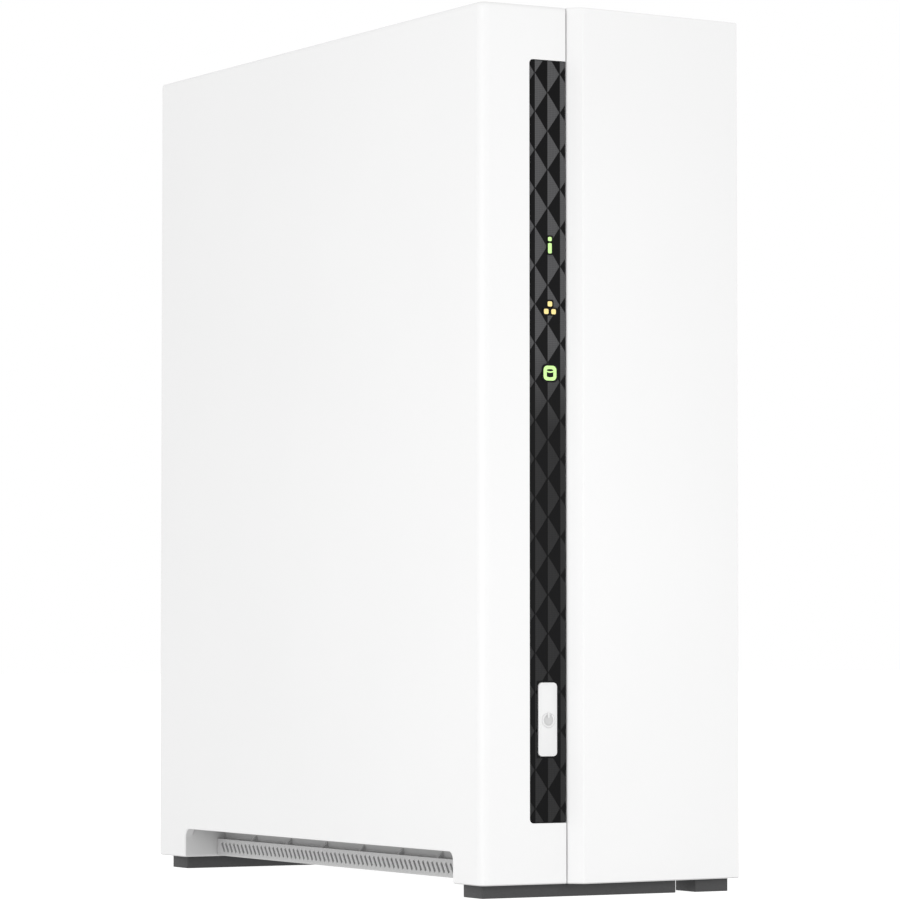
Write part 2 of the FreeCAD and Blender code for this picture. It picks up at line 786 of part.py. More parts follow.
def screw(axis, centre, head_at, reach):
    """A screw whose head faces the positive side: a head with a cross recess, and a shank."""
    head_end = f"{head_at} + screw_head_thick"
    slot_start = f"{head_end} - 0.6"
    head = rod(axis, centre, "screw_head", head_at, head_end)
    shank = rod(axis, centre, "screw_radius - 0.05", f"{head_at} - ({reach})", f"{head_at} + 0.2")
    a, b = centre
    recesses = []
    for half_a, half_b in ((1.5, 0.3), (0.3, 1.5)):
        low = [f"{a} - {half_a}", f"{b} - {half_b}"]
        high = [f"{a} + {half_a}", f"{b} + {half_b}"]
        place = 0 if axis == "x" else 1
        low.insert(place, slot_start)
        high.insert(place, f"{head_end} + 1")
        recesses.append(box(low, high))
    return cut(join(head, shank), *recesses)


# ---------------------------------------------------------------- front controls

def disk_icon(start, end):
    half_wide = "disk_wide/2"
    half_high = "disk_high/2"
    return rounded_bar("y", (f"icon_x - {half_wide}", start, f"disk_z - {half_high}"),
                       (f"icon_x + {half_wide}", end, f"disk_z + {half_high}"), "disk_corner")


def lan_icon(start, end):
    squares = []
    for dx, dz in ((0, 0.5), (-0.5, -0.5), (0.5, -0.5)):
        x = f"icon_x + {dx}*lan_spread"
        z = f"lan_z + {dz}*lan_spread*0.9"
        squares.append(rounded_bar("y", (f"{x} - lan_square/2", start, f"{z} - lan_square/2"),
                                   (f"{x} + lan_square/2", end, f"{z} + lan_square/2"), "icon_corner"))
    return group(*squares)


def status_icon(start, end):
    dot_base = "status_z + status_high/2 - status_wide"
    bar = rounded_bar("y", ("icon_x - status_wide/2", start, "status_z - status_high/2"),
                      ("icon_x + status_wide/2", end, f"{dot_base} - status_gap"), "icon_corner")
    dot = rounded_bar("y", ("icon_x - status_wide/2", start, dot_base),
                      ("icon_x + status_wide/2", end, "status_z + status_high/2"), "icon_corner")
    return group(bar, dot)


ICONS = {"status_lens": status_icon, "lan_lens": lan_icon, "disk_lens": disk_icon}
LENS_FRONT = f"{STRIP} + strip_sink"
LENS_BACK = f"{STRIP} + strip_sink + strip_thick"


def light_strip():
    bar = rounded(
        box(("strip_left", LENS_FRONT, "strip_base"), (SHELL_END, LENS_BACK, "strip_top")),
        "strip_corner",
        runs_along("y", high=(VALUES["strip_left"] + 0.1, 99, 999)),
    )
    icons = [shape(f"{LENS_FRONT} - 1", f"{LENS_BACK} + 1") for shape in ICONS.values()]
    return cut(bar, button_opening(), *icons)


def light_guide():
    bar = box(("guide_left", "guide_bar_front", "disk_z - guide_half"),
              ("guide_right", "guide_bar_back", "status_z + guide_half"))
    posts = [
        box(("guide_left", LENS_BACK, f"{z} - guide_half"),
            ("guide_right", "guide_bar_front + 0.1", f"{z} + guide_half"))
        for z in ("status_z", "lan_z", "disk_z")
    ]
    return join(bar, *posts)


def power_button():
    front = f"{STRIP} - button_proud"
    flange_front = f"{STRIP_BACK} + part_gap"
    cap = rounded_bar("y", ("button_left", front, "button_base"),
                      ("button_right", f"{flange_front} + 1", "button_top"), "button_corner")
    cap = rounded(cap, "button_edge", lambda edge: edge.BoundBox.YMax < number(front) + 0.01)
    flange = box(("button_left", flange_front, "button_base - button_flange"),
                 ("button_right - part_gap", f"{flange_front} + 1", "button_top + button_flange"))
    centre = (BUTTON_X, "symbol_z")
    ring = cut(
        rod("y", centre, "symbol_radius", f"{front} - 1", f"{front} + symbol_depth"),
        rod("y", centre, "symbol_radius - symbol_line", f"{front} - 2", f"{front} + symbol_depth + 1"),
        box((f"{BUTTON_X} - 2*symbol_line", f"{front} - 2", "symbol_z"),
            (f"{BUTTON_X} + 2*symbol_line", f"{front} + 2", "symbol_z + 3")),
    )
    stroke = box((f"{BUTTON_X} - symbol_line/2", f"{front} - 1", "symbol_z + 0.2"),
                 (f"{BUTTON_X} + symbol_line/2", f"{front} + symbol_depth", "symbol_z + 2"))
    return cut(join(cap, flange), ring, stroke)


BUTTON_X = "(button_left + button_right)/2"
BUTTON_Z = "(button_base + button_top)/2"
SWITCH_FRONT = "front_board_y - switch_thick"


def front_board():
    return box(("front_board_left", "front_board_y", "front_board_base"),
               ("front_board_right", "front_board_y + front_board_thick", "front_board_top"))


def power_switch():
    case = box((f"{BUTTON_X} - switch_half", SWITCH_FRONT, f"{BUTTON_Z} - switch_half"),
               (f"{BUTTON_X} + switch_half", "front_board_y", f"{BUTTON_Z} + switch_half"))
    bore = rod("y", (BUTTON_X, BUTTON_Z), "plunger_radius + plunger_gap", f"{SWITCH_FRONT} - 1",
               "front_board_y - 0.6")
    return cut(case, bore)


def switch_plunger():
    return rod("y", (BUTTON_X, BUTTON_Z), "plunger_radius", f"{STRIP_BACK} + part_gap + 1",
               f"{SWITCH_FRONT} + 0.4")


def front_leds():
    return group(*[
        box(("icon_x - led_half", "front_board_y - led_thick", f"{z} - led_half"),
            ("icon_x + led_half", "front_board_y", f"{z} + led_half"))
        for z in ("status_z", "lan_z", "disk_z")
    ])


# ---------------------------------------------------------------- mainboard and what stands on it

def block_on_board(name):
    return box(("mainboard_x", f"{name}_y - {name}_deep/2", f"{name}_z - {name}_high/2"),
               (f"mainboard_x + {name}_rise", f"{name}_y + {name}_deep/2", f"{name}_z + {name}_high/2"))


def mainboard():
    plate = box(("mainboard_x - board_thick", "mainboard_front", "mainboard_base"),
                ("mainboard_x", "mainboard_rear", "mainboard_top"))
    holes = [
        rod("x", hole, "screw_radius + 0.2", "mainboard_x - 5", "mainboard_x + 5")
        for hole in BOARD_HOLES
    ]
    return cut(plate, *holes)


def heatsink():
    low_x = "mainboard_x + processor_rise"
    base = box((low_x, "heatsink_front", "heatsink_base"),
               (f"{low_x} + heatsink_plate", "heatsink_rear", "heatsink_top"))
    fins = []
    for k in range(int(VALUES["fin_count"])):
        near = f"heatsink_front + {k}*fin_pitch"
        fins.append(box((f"{low_x} + heatsink_plate - 0.1", near, "heatsink_base"),
                        (f"{low_x} + heatsink_high", f"{near} + fin_thick", "heatsink_top")))
    return join(base, *fins)


def capacitors():
    cans = []
    half = VALUES["can_radius"] + 0.2
    for y, z in CAPACITORS:
        can = rod("x", (y, z), "can_radius", "mainboard_x + can_base", "mainboard_x + can_high")
        base = box(("mainboard_x", y - half, z - half), ("mainboard_x + can_base", y + half, z + half))
        cans.append(join(can, base))
    return group(*cans)


CELL = ("cell_y", "cell_z")
BUZZER = ("buzzer_y", "buzzer_z")
RESET_X = "mainboard_x + reset_rise"


def cell_holder():
    ring = rod("x", CELL, "cell_radius + cell_wall", "mainboard_x", "mainboard_x + 3.4")
    return cut(ring, rod("x", CELL, "cell_radius + 0.1", "mainboard_x + 0.6", "mainboard_x + 5"))


def coin_cell():
    return rod("x", CELL, "cell_radius", "mainboard_x + 0.6", "mainboard_x + 3.8")


def buzzer():
    can = rod("x", BUZZER, "buzzer_radius", "mainboard_x", "mainboard_x + 5.5")
    return cut(can, rod("x", BUZZER, "1.1", "mainboard_x + 4.5", "mainboard_x + 9"))


def ethernet_jack():
    case = box(("mainboard_x", "57", "lan_base"), ("mainboard_x + lan_rise", "jack_end", "lan_top"))
    mouth = box(("mainboard_x + 2.4", "65", "lan_base + 2.2"), ("mainboard_x + 10.6", "80", "lan_top - 2.2"))
    notch = box(("mainboard_x + 10.5", "65", "lan_base + 5"), ("mainboard_x + 12", "80", "lan_top - 5"))
    return cut(case, mouth, notch)


def usb_jack(name):
    skin = 0.6
    top = f"mainboard_x + {name}_rise"
    case = box(("mainboard_x", "60.5", f"{name}_base"), (top, "jack_end + 0.1", f"{name}_top"))
    mouth = box((f"mainboard_x + {skin}", "67", f"{name}_base + {skin}"),
                (f"{top} - {skin}", "80", f"{name}_top - {skin}"))
    tongue = box(("mainboard_x + 2.9", "62", f"{name}_base + 1.3"),
                 ("mainboard_x + 4.6", "77.4", f"{name}_top - 1.3"))
    return join(cut(case, mouth), tongue)


def dc_jack():
    middle = ("mainboard_x + dc_rise/2", "(dc_base + dc_top)/2")
    case = box(("mainboard_x", "64", "dc_base"), ("mainboard_x + dc_rise", "jack_end", "dc_top"))
    return join(cut(case, rod("y", middle, "3.3", "67", "80")), rod("y", middle, "1.05", "66", "77"))


def reset_switch():
    case = block_on_board("reset_switch")
    return cut(case, rod("y", (RESET_X, "reset_switch_z"), "1.3", "reset_switch_y - 1", "80"))


def reset_button():
    return rod("y", (RESET_X, "reset_switch_z"), "0.9", "reset_switch_y + 1", "panel_front + 0.4")


# ---------------------------------------------------------------- fan

def fan_frame():
    square = rounded_bar("y", ("-fan_size/2", FAN_FRONT, "fan_z - fan_size/2"),
                         ("fan_size/2", "panel_front - 0.1", "fan_z + fan_size/2"), "corner_round")
    bore = rod("y", ("0", "fan_z"), "fan_bore", f"{FAN_FRONT} - 1", "panel_front + 1")
    holes = [
        rod("y", centre, "screw_radius", f"{FAN_FRONT} - 1", "panel_front + 1")
        for centre in fan_holes()
    ]
    hub = rod("y", ("0", "fan_z"), "fan_hub", "panel_front - 2.6", "panel_front - 0.1")
    struts = []
    for turn in (20, 140, 260):
        item = doc.addObject("Part::Box", "Strut")
        spin = Rotation(Vector(0, 1, 0), turn)
        item.Placement = Placement(spin.multVec(Vector(8, 0, -1.4)) + Vector(0, 0, VALUES["fan_z"]), spin)
        item.Length = VALUES["fan_bore"] - 7
        bind(item, "Width", "2.2")
        item.Height = 2.8
        bind(item, "Placement.Base.y", "panel_front - 2.5")
        struts.append(item)
    tube = rod("y", ("0", "fan_z"), "fan_shaft + 1.6", f"{FAN_FRONT} + 3.4", "panel_front - 0.2")
    bearing = rod("y", ("0", "fan_z"), "fan_shaft + running_gap", f"{FAN_FRONT} + 2", "panel_front - 1")
    return cut(join(cut(square, bore, *holes), hub, *struts, tube), bearing)


def fan_stator():
    core = rod("y", ("0", "fan_z"), "fan_hub - 4.2", f"{FAN_FRONT} + 4.2", "panel_front - 3.4")
    slots = []
    for k in range(4):
        item = doc.addObject("Part::Box", "Gap")
        spin = Rotation(Vector(0, 1, 0), 90 * k)
        item.Placement = Placement(spin.multVec(Vector(4.2, 0, -1)) + Vector(0, 0, VALUES["fan_z"]), spin)
        item.Length = 6
        bind(item, "Width", "fan_thick")
        item.Height = 2
        bind(item, "Placement.Base.y", FAN_FRONT)
        slots.append(item)
    return cut(core, rod("y", ("0", "fan_z"), "fan_shaft + 1.6", FAN_FRONT, "panel_front"), *slots)


def fan_rotor():
    """Hub cup, shaft and seven twisted blades."""
    front = number(FAN_FRONT) + 0.6
    deep = 9.6
    back = Vector(0, 1, 0)
    wall = 1.6
    hub = Part.makeCylinder(VALUES["fan_hub"] - 0.1, deep, Vector(0, front, 0), back)
    hub = hub.cut(Part.makeCylinder(VALUES["fan_hub"] - wall, deep, Vector(0, front + wall, 0), back))
    shaft = Part.makeCylinder(VALUES["fan_shaft"], 10.5, Vector(0, front + 1, 0), back)
    rotor = hub.fuse(shaft)
    root = VALUES["fan_hub"] - 0.9
    tip = VALUES["fan_blade_tip"]
    for k in range(7):
        sections = []
        for radius, pitch, chord in ((root, 46.0, 9.6), ((root + tip) / 2, 37.0, 11.0), (tip, 29.0, 12.0)):
            lean = math.radians(pitch)
            run = chord * math.cos(lean) / 2
            rise = min(chord * math.sin(lean), deep - 1.2) / 2
            middle = front + deep / 2
            thick = 0.5
            corners = [
                Vector(-run, middle - rise, radius), Vector(run, middle + rise - thick, radius),
                Vector(run, middle + rise, radius), Vector(-run, middle - rise + thick, radius),
            ]
            sections.append(Part.makePolygon(corners + corners[:1]))
        blade = Part.makeLoft(sections, True, True)
        blade = blade.common(Part.makeCylinder(tip, 40, Vector(0, front - 10, 0), back))
        blade.rotate(Vector(), back, k * 360 / 7)
        rotor = rotor.fuse(blade)
    item = doc.addObject("Part::Feature", "Rotor")
    item.Shape = rotor
    item.Placement = Placement(Vector(0, 0, VALUES["fan_z"]), Rotation())
    return item


# ---------------------------------------------------------------- drive and its frame

def ear(near, far):
    plate = box((f"{FRAME_RIGHT} - 0.2", near, "drive_base + 12"),
                ("ear_right", far, "drive_base + drive_hole_high + 20"))
    slots = []
    for hole in ("drive_hole_low", "drive_hole_high"):
        slots.append(box(
            ("drive_left + drive_hole_side - 2.15", f"{near} - 1", f"drive_base + {hole} - 2.15"),
            ("drive_left + drive_hole_side + 2.15", f"{far} + 1", f"drive_base + {hole} + drive_lift + 2.15"),
        ))
    return cut(plate, *slots)


def drive_frame():
    plate = box(("frame_left", "frame_front", "frame_base"), (FRAME_RIGHT, "frame_rear", "frame_top"))
    window = rounded_bar("x", ("frame_left - 1", "window_front", "window_base"),
                         (f"{FRAME_RIGHT} + 1", "window_rear", "window_top"), "corner_round")
    fan_notch = box(("frame_left - 1", "54", "40"), (f"{FRAME_RIGHT} + 1", "99", "170"))
    passage = box(("frame_left - 1", "-38.4", "14.1"), (f"{FRAME_RIGHT} + 1", "30.4", "26"))
    holes = [
        rod("x", hole, "screw_radius + 0.2", "frame_left - 1", f"{FRAME_RIGHT} + 1")
        for hole in frame_holes()
    ]
    shelf = box(("frame_left", "shelf_front", "frame_base"),
                ("shelf_right", "shelf_rear", "frame_base + sheet_thick"))
    pips = [
        rod("z", (x, y), "2.2", "frame_base + sheet_thick - 0.2", "backplane_z")
        for x in (-3, 9) for y in ("shelf_front + 5", "shelf_rear - 5")
    ]
    inner = "drive_wide/2 + ear_gap"
    ears = (ear(f"-({inner} + sheet_thick)", f"-({inner})"), ear(inner, f"{inner} + sheet_thick"))
    return join(cut(plate, window, fan_notch, passage, *holes), shelf, *pips, *ears)


def drive_backplane():
    return box(("mainboard_x + 0.1", "shelf_front + 2", "backplane_z"),
               ("shelf_right - 1", "shelf_rear - 2", "backplane_z + board_thick"))


def sata_socket():
    base = box(("plug_left - 1.4", "plug_near - 2", "backplane_z + board_thick"),
               ("plug_right + 1.4", "plug_far + 2", "drive_base - 1.5"))
    blade = box(("plug_left + 0.8", "plug_near + 1.6", "drive_base - 1.6"),
                ("plug_left + 2.2", "plug_far - 1.6", "drive_base + 5.5"))
    return join(base, blade)


def plug_pocket(grow):
    return box((f"plug_left - {grow}", f"plug_near - {grow}", "drive_base - 1"),
               (f"plug_right + {grow}", f"plug_far + {grow}", f"drive_base + plug_high + {grow}"))


def drive_case():
    half = "drive_wide/2"
    block = box(("drive_left + drive_rail", f"-{half}", "drive_base"),
                (f"{DRIVE_RIGHT} - lid_thick", half, DRIVE_TOP))
    rail_right = "drive_left + drive_rail + 0.5"
    rails = [
        box(("drive_left", near, "drive_base"), (rail_right, f"{near} + 3.5", DRIVE_TOP))
        for near in (f"-{half}", f"{half} - 3.5")
    ]
    floor_x = "drive_left + drive_rail + drive_floor"
    round_room = rod("x", ("0", "spindle_z"), "platter_radius + 1.1", floor_x, f"{DRIVE_RIGHT} + 5")
    square_room = box((floor_x, f"-{half} + 6", "drive_base + 18"),
                      (f"{DRIVE_RIGHT} + 5", f"{half} - 6", "drive_base + 74"))
    side_holes = []
    for hole in ("drive_hole_low", "drive_hole_high"):
        centre = ("drive_left + drive_hole_side", f"drive_base + {hole}")
        for low, high in ((f"-{half} - 1", f"-{half} + 3"), (f"{half} - 3", f"{half} + 1")):
            side_holes.append(rod("y", centre, "drive_screw_radius", low, high))
    shaft = rod("x", ("0", "spindle_z"), "shaft_radius", f"{floor_x} - 0.5", "16")
    pivot = rod("x", ("pivot_y", "pivot_z"), "shaft_radius - 0.5", f"{floor_x} - 0.5", "17")
    case = cut(join(block, *rails), round_room, square_room, plug_pocket("0"), *side_holes)
    return join(case, shaft, pivot)


def drive_lid():
    half = "drive_wide/2"
    plate = rounded_bar("x", (f"{DRIVE_RIGHT} - lid_thick", f"-{half} + 1", "drive_base + 2"),
                        (DRIVE_RIGHT, f"{half} - 1", f"{DRIVE_TOP} - 1"), "corner_round")
    return plate


def drive_board():
    half = "drive_wide/2"
    return box(("drive_left + 0.2", f"-{half} + 4.5", "drive_base + plug_high + 1.2"),
               ("drive_left + drive_rail", f"{half} - 4.5", "drive_base + 70"))


def drive_connector():
    shell = plug_pocket("-0.05")
    shell = cut(shell, box(("-9", "-99", "0"), ("9", "99", "drive_base")))
    cavity = box(("plug_left + 0.4", "plug_near + 1", "drive_base - 1"),
                 ("plug_right - 0.6", "plug_far - 1", "drive_base + 7"))
    tongue = box(("plug_right - 1 - tongue_thick", "plug_near + 2", "drive_base + 0.6"),
                 ("plug_right - 1", "plug_far - 2", "drive_base + 7.5"))
    return join(cut(shell, cavity), tongue)


def platter_stack():
    hub = rod("x", ("0", "spindle_z"), "hub_radius", "1.6", "14.4")
    plates = [
        rod("x", ("0", "spindle_z"), "platter_radius", f"platter_first + {k}*platter_pitch",
            f"platter_first + {k}*platter_pitch + platter_thick")
        for k in range(2)
    ]
    clamp = rod("x", ("0", "spindle_z"), "hub_radius + 2.5", "11.2", "12.4")
    bore = rod("x", ("0", "spindle_z"), "shaft_radius + running_gap", "0", "20")
    return cut(join(hub, *plates, clamp), bore)


def head_arm():
    """Pivot barrel, three blades with heads, and the coil on the far side."""
    pieces = [Part.makeCylinder(VALUES["barrel_radius"], 14.4, Vector(1.7, 0, 0), Vector(1, 0, 0))]
    long = VALUES["arm_long"]
    first = VALUES["platter_first"] + (VALUES["platter_thick"] - VALUES["platter_pitch"] - 1) / 2
    levels = [first + k * VALUES["platter_pitch"] for k in range(3)]
    for level in levels:
        outline = [Vector(level, 2, -4.5), Vector(level, long - 6, -1.6), Vector(level, long, -1.2),
                   Vector(level, long, 1.2), Vector(level, long - 6, 1.6), Vector(level, 2, 4.5)]
        face = Part.Face(Part.makePolygon(outline + outline[:1]))
        pieces.append(face.extrude(Vector(VALUES["blade_thick"], 0, 0)))
    half = VALUES["coil_half"]
    far = -VALUES["coil_long"]
    coil = [Vector(7.2, 0, -3), Vector(7.2, far, -half), Vector(7.2, far, half), Vector(7.2, 0, 3)]
    pieces.append(Part.Face(Part.makePolygon(coil + coil[:1])).extrude(Vector(1.8, 0, 0)))
    shape = pieces[0].multiFuse(pieces[1:])
    bore = VALUES["shaft_radius"] - 0.5 + VALUES["running_gap"]
    shape = shape.cut(Part.makeCylinder(bore, 40, Vector(-10, 0, 0), Vector(1, 0, 0)))
    item = doc.addObject("Part::Feature", "Arm")
    item.Shape = shape
    parked = Rotation(Vector(1, 0, 0), VALUES["arm_park"])
    item.Placement = Placement(Vector(0, VALUES["pivot_y"], VALUES["pivot_z"]), parked)
    return item


def coil_magnets():
    post_front = "magnet_rear - 3.5"
    lower = box(("2.6", "magnet_front", "magnet_base"), ("5.8", post_front, "magnet_top"))
    upper = box(("10.4", "magnet_front", "magnet_base"), ("13.4", post_front, "magnet_top"))
    post = box(("2.6", post_front, "magnet_base"), ("13.4", "magnet_rear", "magnet_top"))
    return join(lower, upper, post)


def drive_screws():
    screws = []
    outside = "drive_wide/2 + ear_gap + sheet_thick + 0.3"
    for hole in ("drive_hole_low", "drive_hole_high"):
        centre = ("drive_left + drive_hole_side", f"drive_base + {hole}")
        for way in (-1, 1):
            inner = f"{way}*(drive_wide/2 - 2.8)"
            neck = f"{way}*({outside})"
            head = f"{way}*({outside} + 1.5)"
            low, high = sorted((inner, neck), key=number)
            shank = rod("y", centre, "drive_screw_radius - 0.03", low, high)
            low, high = sorted((neck, head), key=number)
            screws.append(join(shank, rod("y", centre, "drive_screw_head", low, high)))
    return group(*screws)


def lid_screws():
    return group(*[
        rod("x", (y, z), "1.7", DRIVE_RIGHT, f"{DRIVE_RIGHT} + 0.5")
        for y, z in LID_SCREWS
    ])


# ---------------------------------------------------------------- leads

def arc_path(points, share=0.45):
    """A wire of straight runs joined by tangent arcs."""
    edges = []
    start = points[0]
    for before, corner, after in zip(points, points[1:], points[2:]):
        one = (before - corner)
        two = (after - corner)
        reach = share * min(one.Length, two.Length)
        enter = corner + one.normalize() * reach
        leave = corner + two.normalize() * reach
        bisector = (enter - corner) + (leave - corner)
        turn = math.pi - one.getAngle(two)
        radius = reach / math.tan(turn / 2)
        centre = corner + bisector.normalize() * math.hypot(reach, radius)
        middle = centre + (corner - centre).normalize() * radius
        edges.append(Part.LineSegment(start, enter).toShape())
        edges.append(Part.Arc(enter, middle, leave).toShape())
        start = leave
    edges.append(Part.LineSegment(start, points[-1]).toShape())
    return Part.Wire(edges)


def swept(name, points, section):
    path = arc_path(points)
    item = doc.addObject("Part::Feature", name)
    item.Shape = path.makePipeShell([section], True, False)
    item.Placement = Placement()
    return item


def fan_cable():
    """Round lead from the fan's corner down to its plug on the mainboard."""
    side = number("mainboard_x + fan_plug_rise")
    plug_y = number("fan_plug_y")
    plug_z = number("fan_plug_z")
    start = Vector(-21.5, number(FAN_FRONT), 130.0)
    points = [
        start, start + Vector(0, -5.5, 0), Vector(-20.5, 50.0, 126.0), Vector(-15.5, 42.0, 122.0),
        Vector(-12.0, 38.0, 117.0), Vector(side + 4.5, plug_y, plug_z), Vector(side + 0.05, plug_y, plug_z),
    ]
    section = Part.Wire(Part.makeCircle(1.0, start, Vector(0, -1, 0)))
    return swept("fan_cable", points, section)


def front_ribbon_cable():
    """Flat cable from the back of the front board to its header on the mainboard."""
    board_back = number("front_board_y + front_board_thick")
    header_front = number("ribbon_header_y - ribbon_header_deep/2")
    z = number("ribbon_header_z")
    points = [
        Vector(-17.0, board_back, z), Vector(-17.0, board_back + 7.5, z),
        Vector(-21.5, header_front - 7.5, z), Vector(-21.5, header_front, z),
    ]
    half = 6.0
    thin = 0.4
    corners = [
        Vector(points[0].x + a * thin, board_back, z + b * half)
        for a, b in ((-1, -1), (1, -1), (1, 1), (-1, 1))
    ]
    return swept("front_ribbon_cable", points, Part.makePolygon(corners + corners[:1]))


# ---------------------------------------------------------------- the assembly

def build_case():
    node("left_shell", left_shell())
    node("right_cover", right_cover())
    node("front_panel", front_panel())
    node("vent_tray", vent_tray())
    node("rear_panel", rear_panel())
    node("foot_front_long", rubber_bar("foot_left", "foot_break_left", "foot_front_y"))
    node("foot_front_short", rubber_bar("foot_break_right", "foot_right", "foot_front_y"))
    node("foot_rear_long", rubber_bar("foot_left", "foot_break_left", "foot_rear_y"))
    node("foot_rear_short", rubber_bar("foot_break_right", "foot_right", "foot_rear_y"))


def build_front():
    node("light_strip", light_strip())
    for name, shape in ICONS.items():
        node(name, shape(LENS_FRONT, LENS_BACK))
    node("light_guide", light_guide())
    node("power_button", power_button())
    node("switch_plunger", switch_plunger())
    node("power_switch", power_switch())
    node("front_board", front_board())
    node("front_leds", front_leds())
    node("front_ribbon_cable", front_ribbon_cable())


def build_electronics():
    node("mainboard", mainboard())
    node("processor", block_on_board("processor"))
    node("heatsink", heatsink())
    node("memory_chips", group(block_on_board("memory_low"), block_on_board("memory_high")))
    node("network_transformer", block_on_board("network_transformer"))
    node("inductors", group(*[block_on_board(name) for name in ("inductor_a", "inductor_b", "inductor_c")]))
    node("capacitors", capacitors())
    node("cell_holder", cell_holder())
    node("coin_cell", coin_cell())
    node("buzzer", buzzer())
    node("board_headers", group(block_on_board("board_header"), block_on_board("ribbon_header")))
    node("fan_plug", block_on_board("fan_plug"))
    node("ethernet_jack", ethernet_jack())
    node("usb_jack_low", usb_jack("usb_low"))
    node("usb_jack_high", usb_jack("usb_high"))
    node("dc_jack", dc_jack())
    node("reset_switch", reset_switch())
    node("reset_button", reset_button())
    node("drive_backplane", drive_backplane())
    node("sata_socket", sata_socket())


def build_fan():
    node("fan_frame", fan_frame())
    node("fan_stator", fan_stator())
    node("fan_rotor", fan_rotor())
    node("fan_cable", fan_cable())


def build_drive():
    node("drive_frame", drive_frame())
    node("drive_case", drive_case())
    node("drive_lid", drive_lid())
    node("drive_board", drive_board())
    node("drive_connector", drive_connector())
    node("platter_stack", platter_stack())
    node("head_arm", head_arm())
    node("coil_magnets", coil_magnets())
    node("drive_screws", drive_screws())
    node("lid_screws", lid_screws())


def build_fasteners():
    sunk = f"{PANEL_BACK} - screw_sink"
    through_panel = "panel_thick - screw_sink + screw_reach - 0.3"
    fasteners = {
        "board_screws": ("x", BOARD_HOLES, "mainboard_x", "board_thick + screw_reach - 0.3"),
        "frame_screws": ("x", frame_holes(), FRAME_RIGHT, "sheet_thick + screw_reach - 0.3"),
        "panel_screws": ("y", panel_holes(), sunk, through_panel),
        "fan_screws": ("y", fan_holes(), sunk, through_panel),
        "cover_screws": ("y", cover_holes(), sunk, "panel_thick + screw_reach"),
    }
    for name, (axis, holes, head_at, reach) in fasteners.items():
        node(name, group(*[screw(axis, hole, head_at, reach) for hole in holes]))


def check():
    doc.recompute()
    failed = [o.Name for o in doc.Objects if "Invalid" in o.State or "Error" in o.State]
    if failed:
        raise RuntimeError("failed objects: " + ", ".join(failed))
    for name, item in nodes.items():
        shape = item.Shape
        if shape.isNull() or not shape.isValid() or not shape.Solids:
            raise RuntimeError("bad shape: " + name)
        print(f"{name}: {len(shape.Solids)} solids, {shape.Volume:.1f} mm3")


def export():
    os.makedirs("parts", exist_ok=True)
    for name, item in nodes.items():
        item.Shape.exportStep(f"parts/{name}.step")


build_case()
build_front()
build_electronics()
build_fan()
build_drive()
build_fasteners()
check()
export()
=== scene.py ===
import bmesh
import bpy
import json
import math
from mathutils import Matrix, Vector


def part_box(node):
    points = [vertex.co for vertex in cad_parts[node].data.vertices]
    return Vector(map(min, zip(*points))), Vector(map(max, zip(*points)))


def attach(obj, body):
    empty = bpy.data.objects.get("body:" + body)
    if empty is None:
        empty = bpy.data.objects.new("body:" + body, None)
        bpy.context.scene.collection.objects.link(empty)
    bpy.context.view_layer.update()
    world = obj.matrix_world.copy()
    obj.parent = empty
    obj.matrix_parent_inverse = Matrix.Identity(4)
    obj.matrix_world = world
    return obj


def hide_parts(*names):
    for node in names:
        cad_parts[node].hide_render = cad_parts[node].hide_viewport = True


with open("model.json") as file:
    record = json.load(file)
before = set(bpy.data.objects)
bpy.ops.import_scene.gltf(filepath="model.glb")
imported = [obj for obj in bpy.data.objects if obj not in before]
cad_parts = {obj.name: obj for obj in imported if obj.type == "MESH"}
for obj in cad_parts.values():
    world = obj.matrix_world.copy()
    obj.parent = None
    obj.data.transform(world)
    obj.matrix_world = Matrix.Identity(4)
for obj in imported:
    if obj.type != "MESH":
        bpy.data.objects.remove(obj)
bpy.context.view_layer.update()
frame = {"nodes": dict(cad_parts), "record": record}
nodes = frame["nodes"]

MM = 0.001


def span(node):
    """A CAD node's lowest and highest corners, in millimetres."""
    low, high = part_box(node)
    return Vector(low) / MM, Vector(high) / MM


# ---------------------------------------------------------------- materials

def shader(name, color, rough, **constants):
    """A material with one Principled shader; constants go straight on its sockets."""
    mat = bpy.data.materials.new(name)
    mat.use_nodes = True
    tree = mat.node_tree
    bsdf = next(n for n in tree.nodes if n.type == "BSDF_PRINCIPLED")
    bsdf.inputs["Base Color"].default_value = (*color, 1.0)
    bsdf.inputs["Roughness"].default_value = rough
    for socket, number in constants.items():
        bsdf.inputs[socket.replace("_", " ")].default_value = number
    return mat, tree, bsdf


def noise(tree, scale, detail=3.0, stretch=(1, 1, 1)):
    """Noise in the object's own coordinates, so its scale is in cycles per metre."""
    coords = tree.nodes.new("ShaderNodeTexCoord")
    mapping = tree.nodes.new("ShaderNodeMapping")
    mapping.inputs["Scale"].default_value = stretch
    texture = tree.nodes.new("ShaderNodeTexNoise")
    texture.inputs["Scale"].default_value = scale
    texture.inputs["Detail"].default_value = detail
    tree.links.new(coords.outputs["Object"], mapping.inputs["Vector"])
    tree.links.new(mapping.outputs["Vector"], texture.inputs["Vector"])
    return texture.outputs["Fac"]


def ramp(tree, factor, stops):
    node = tree.nodes.new("ShaderNodeValToRGB")
    first, last = node.color_ramp.elements
    first.position, first.color = stops[0][0], (*stops[0][1], 1)
    last.position, last.color = stops[-1][0], (*stops[-1][1], 1)
    for place, color in stops[1:-1]:
        node.color_ramp.elements.new(place).color = (*color, 1)
    tree.links.new(factor, node.inputs["Fac"])
    return node.outputs["Color"]


def bump(tree, bsdf, height, strength, distance):
    node = tree.nodes.new("ShaderNodeBump")
    node.inputs["Strength"].default_value = strength
    node.inputs["Distance"].default_value = distance
    tree.links.new(height, node.inputs["Height"])
    tree.links.new(node.outputs["Normal"], bsdf.inputs["Normal"])


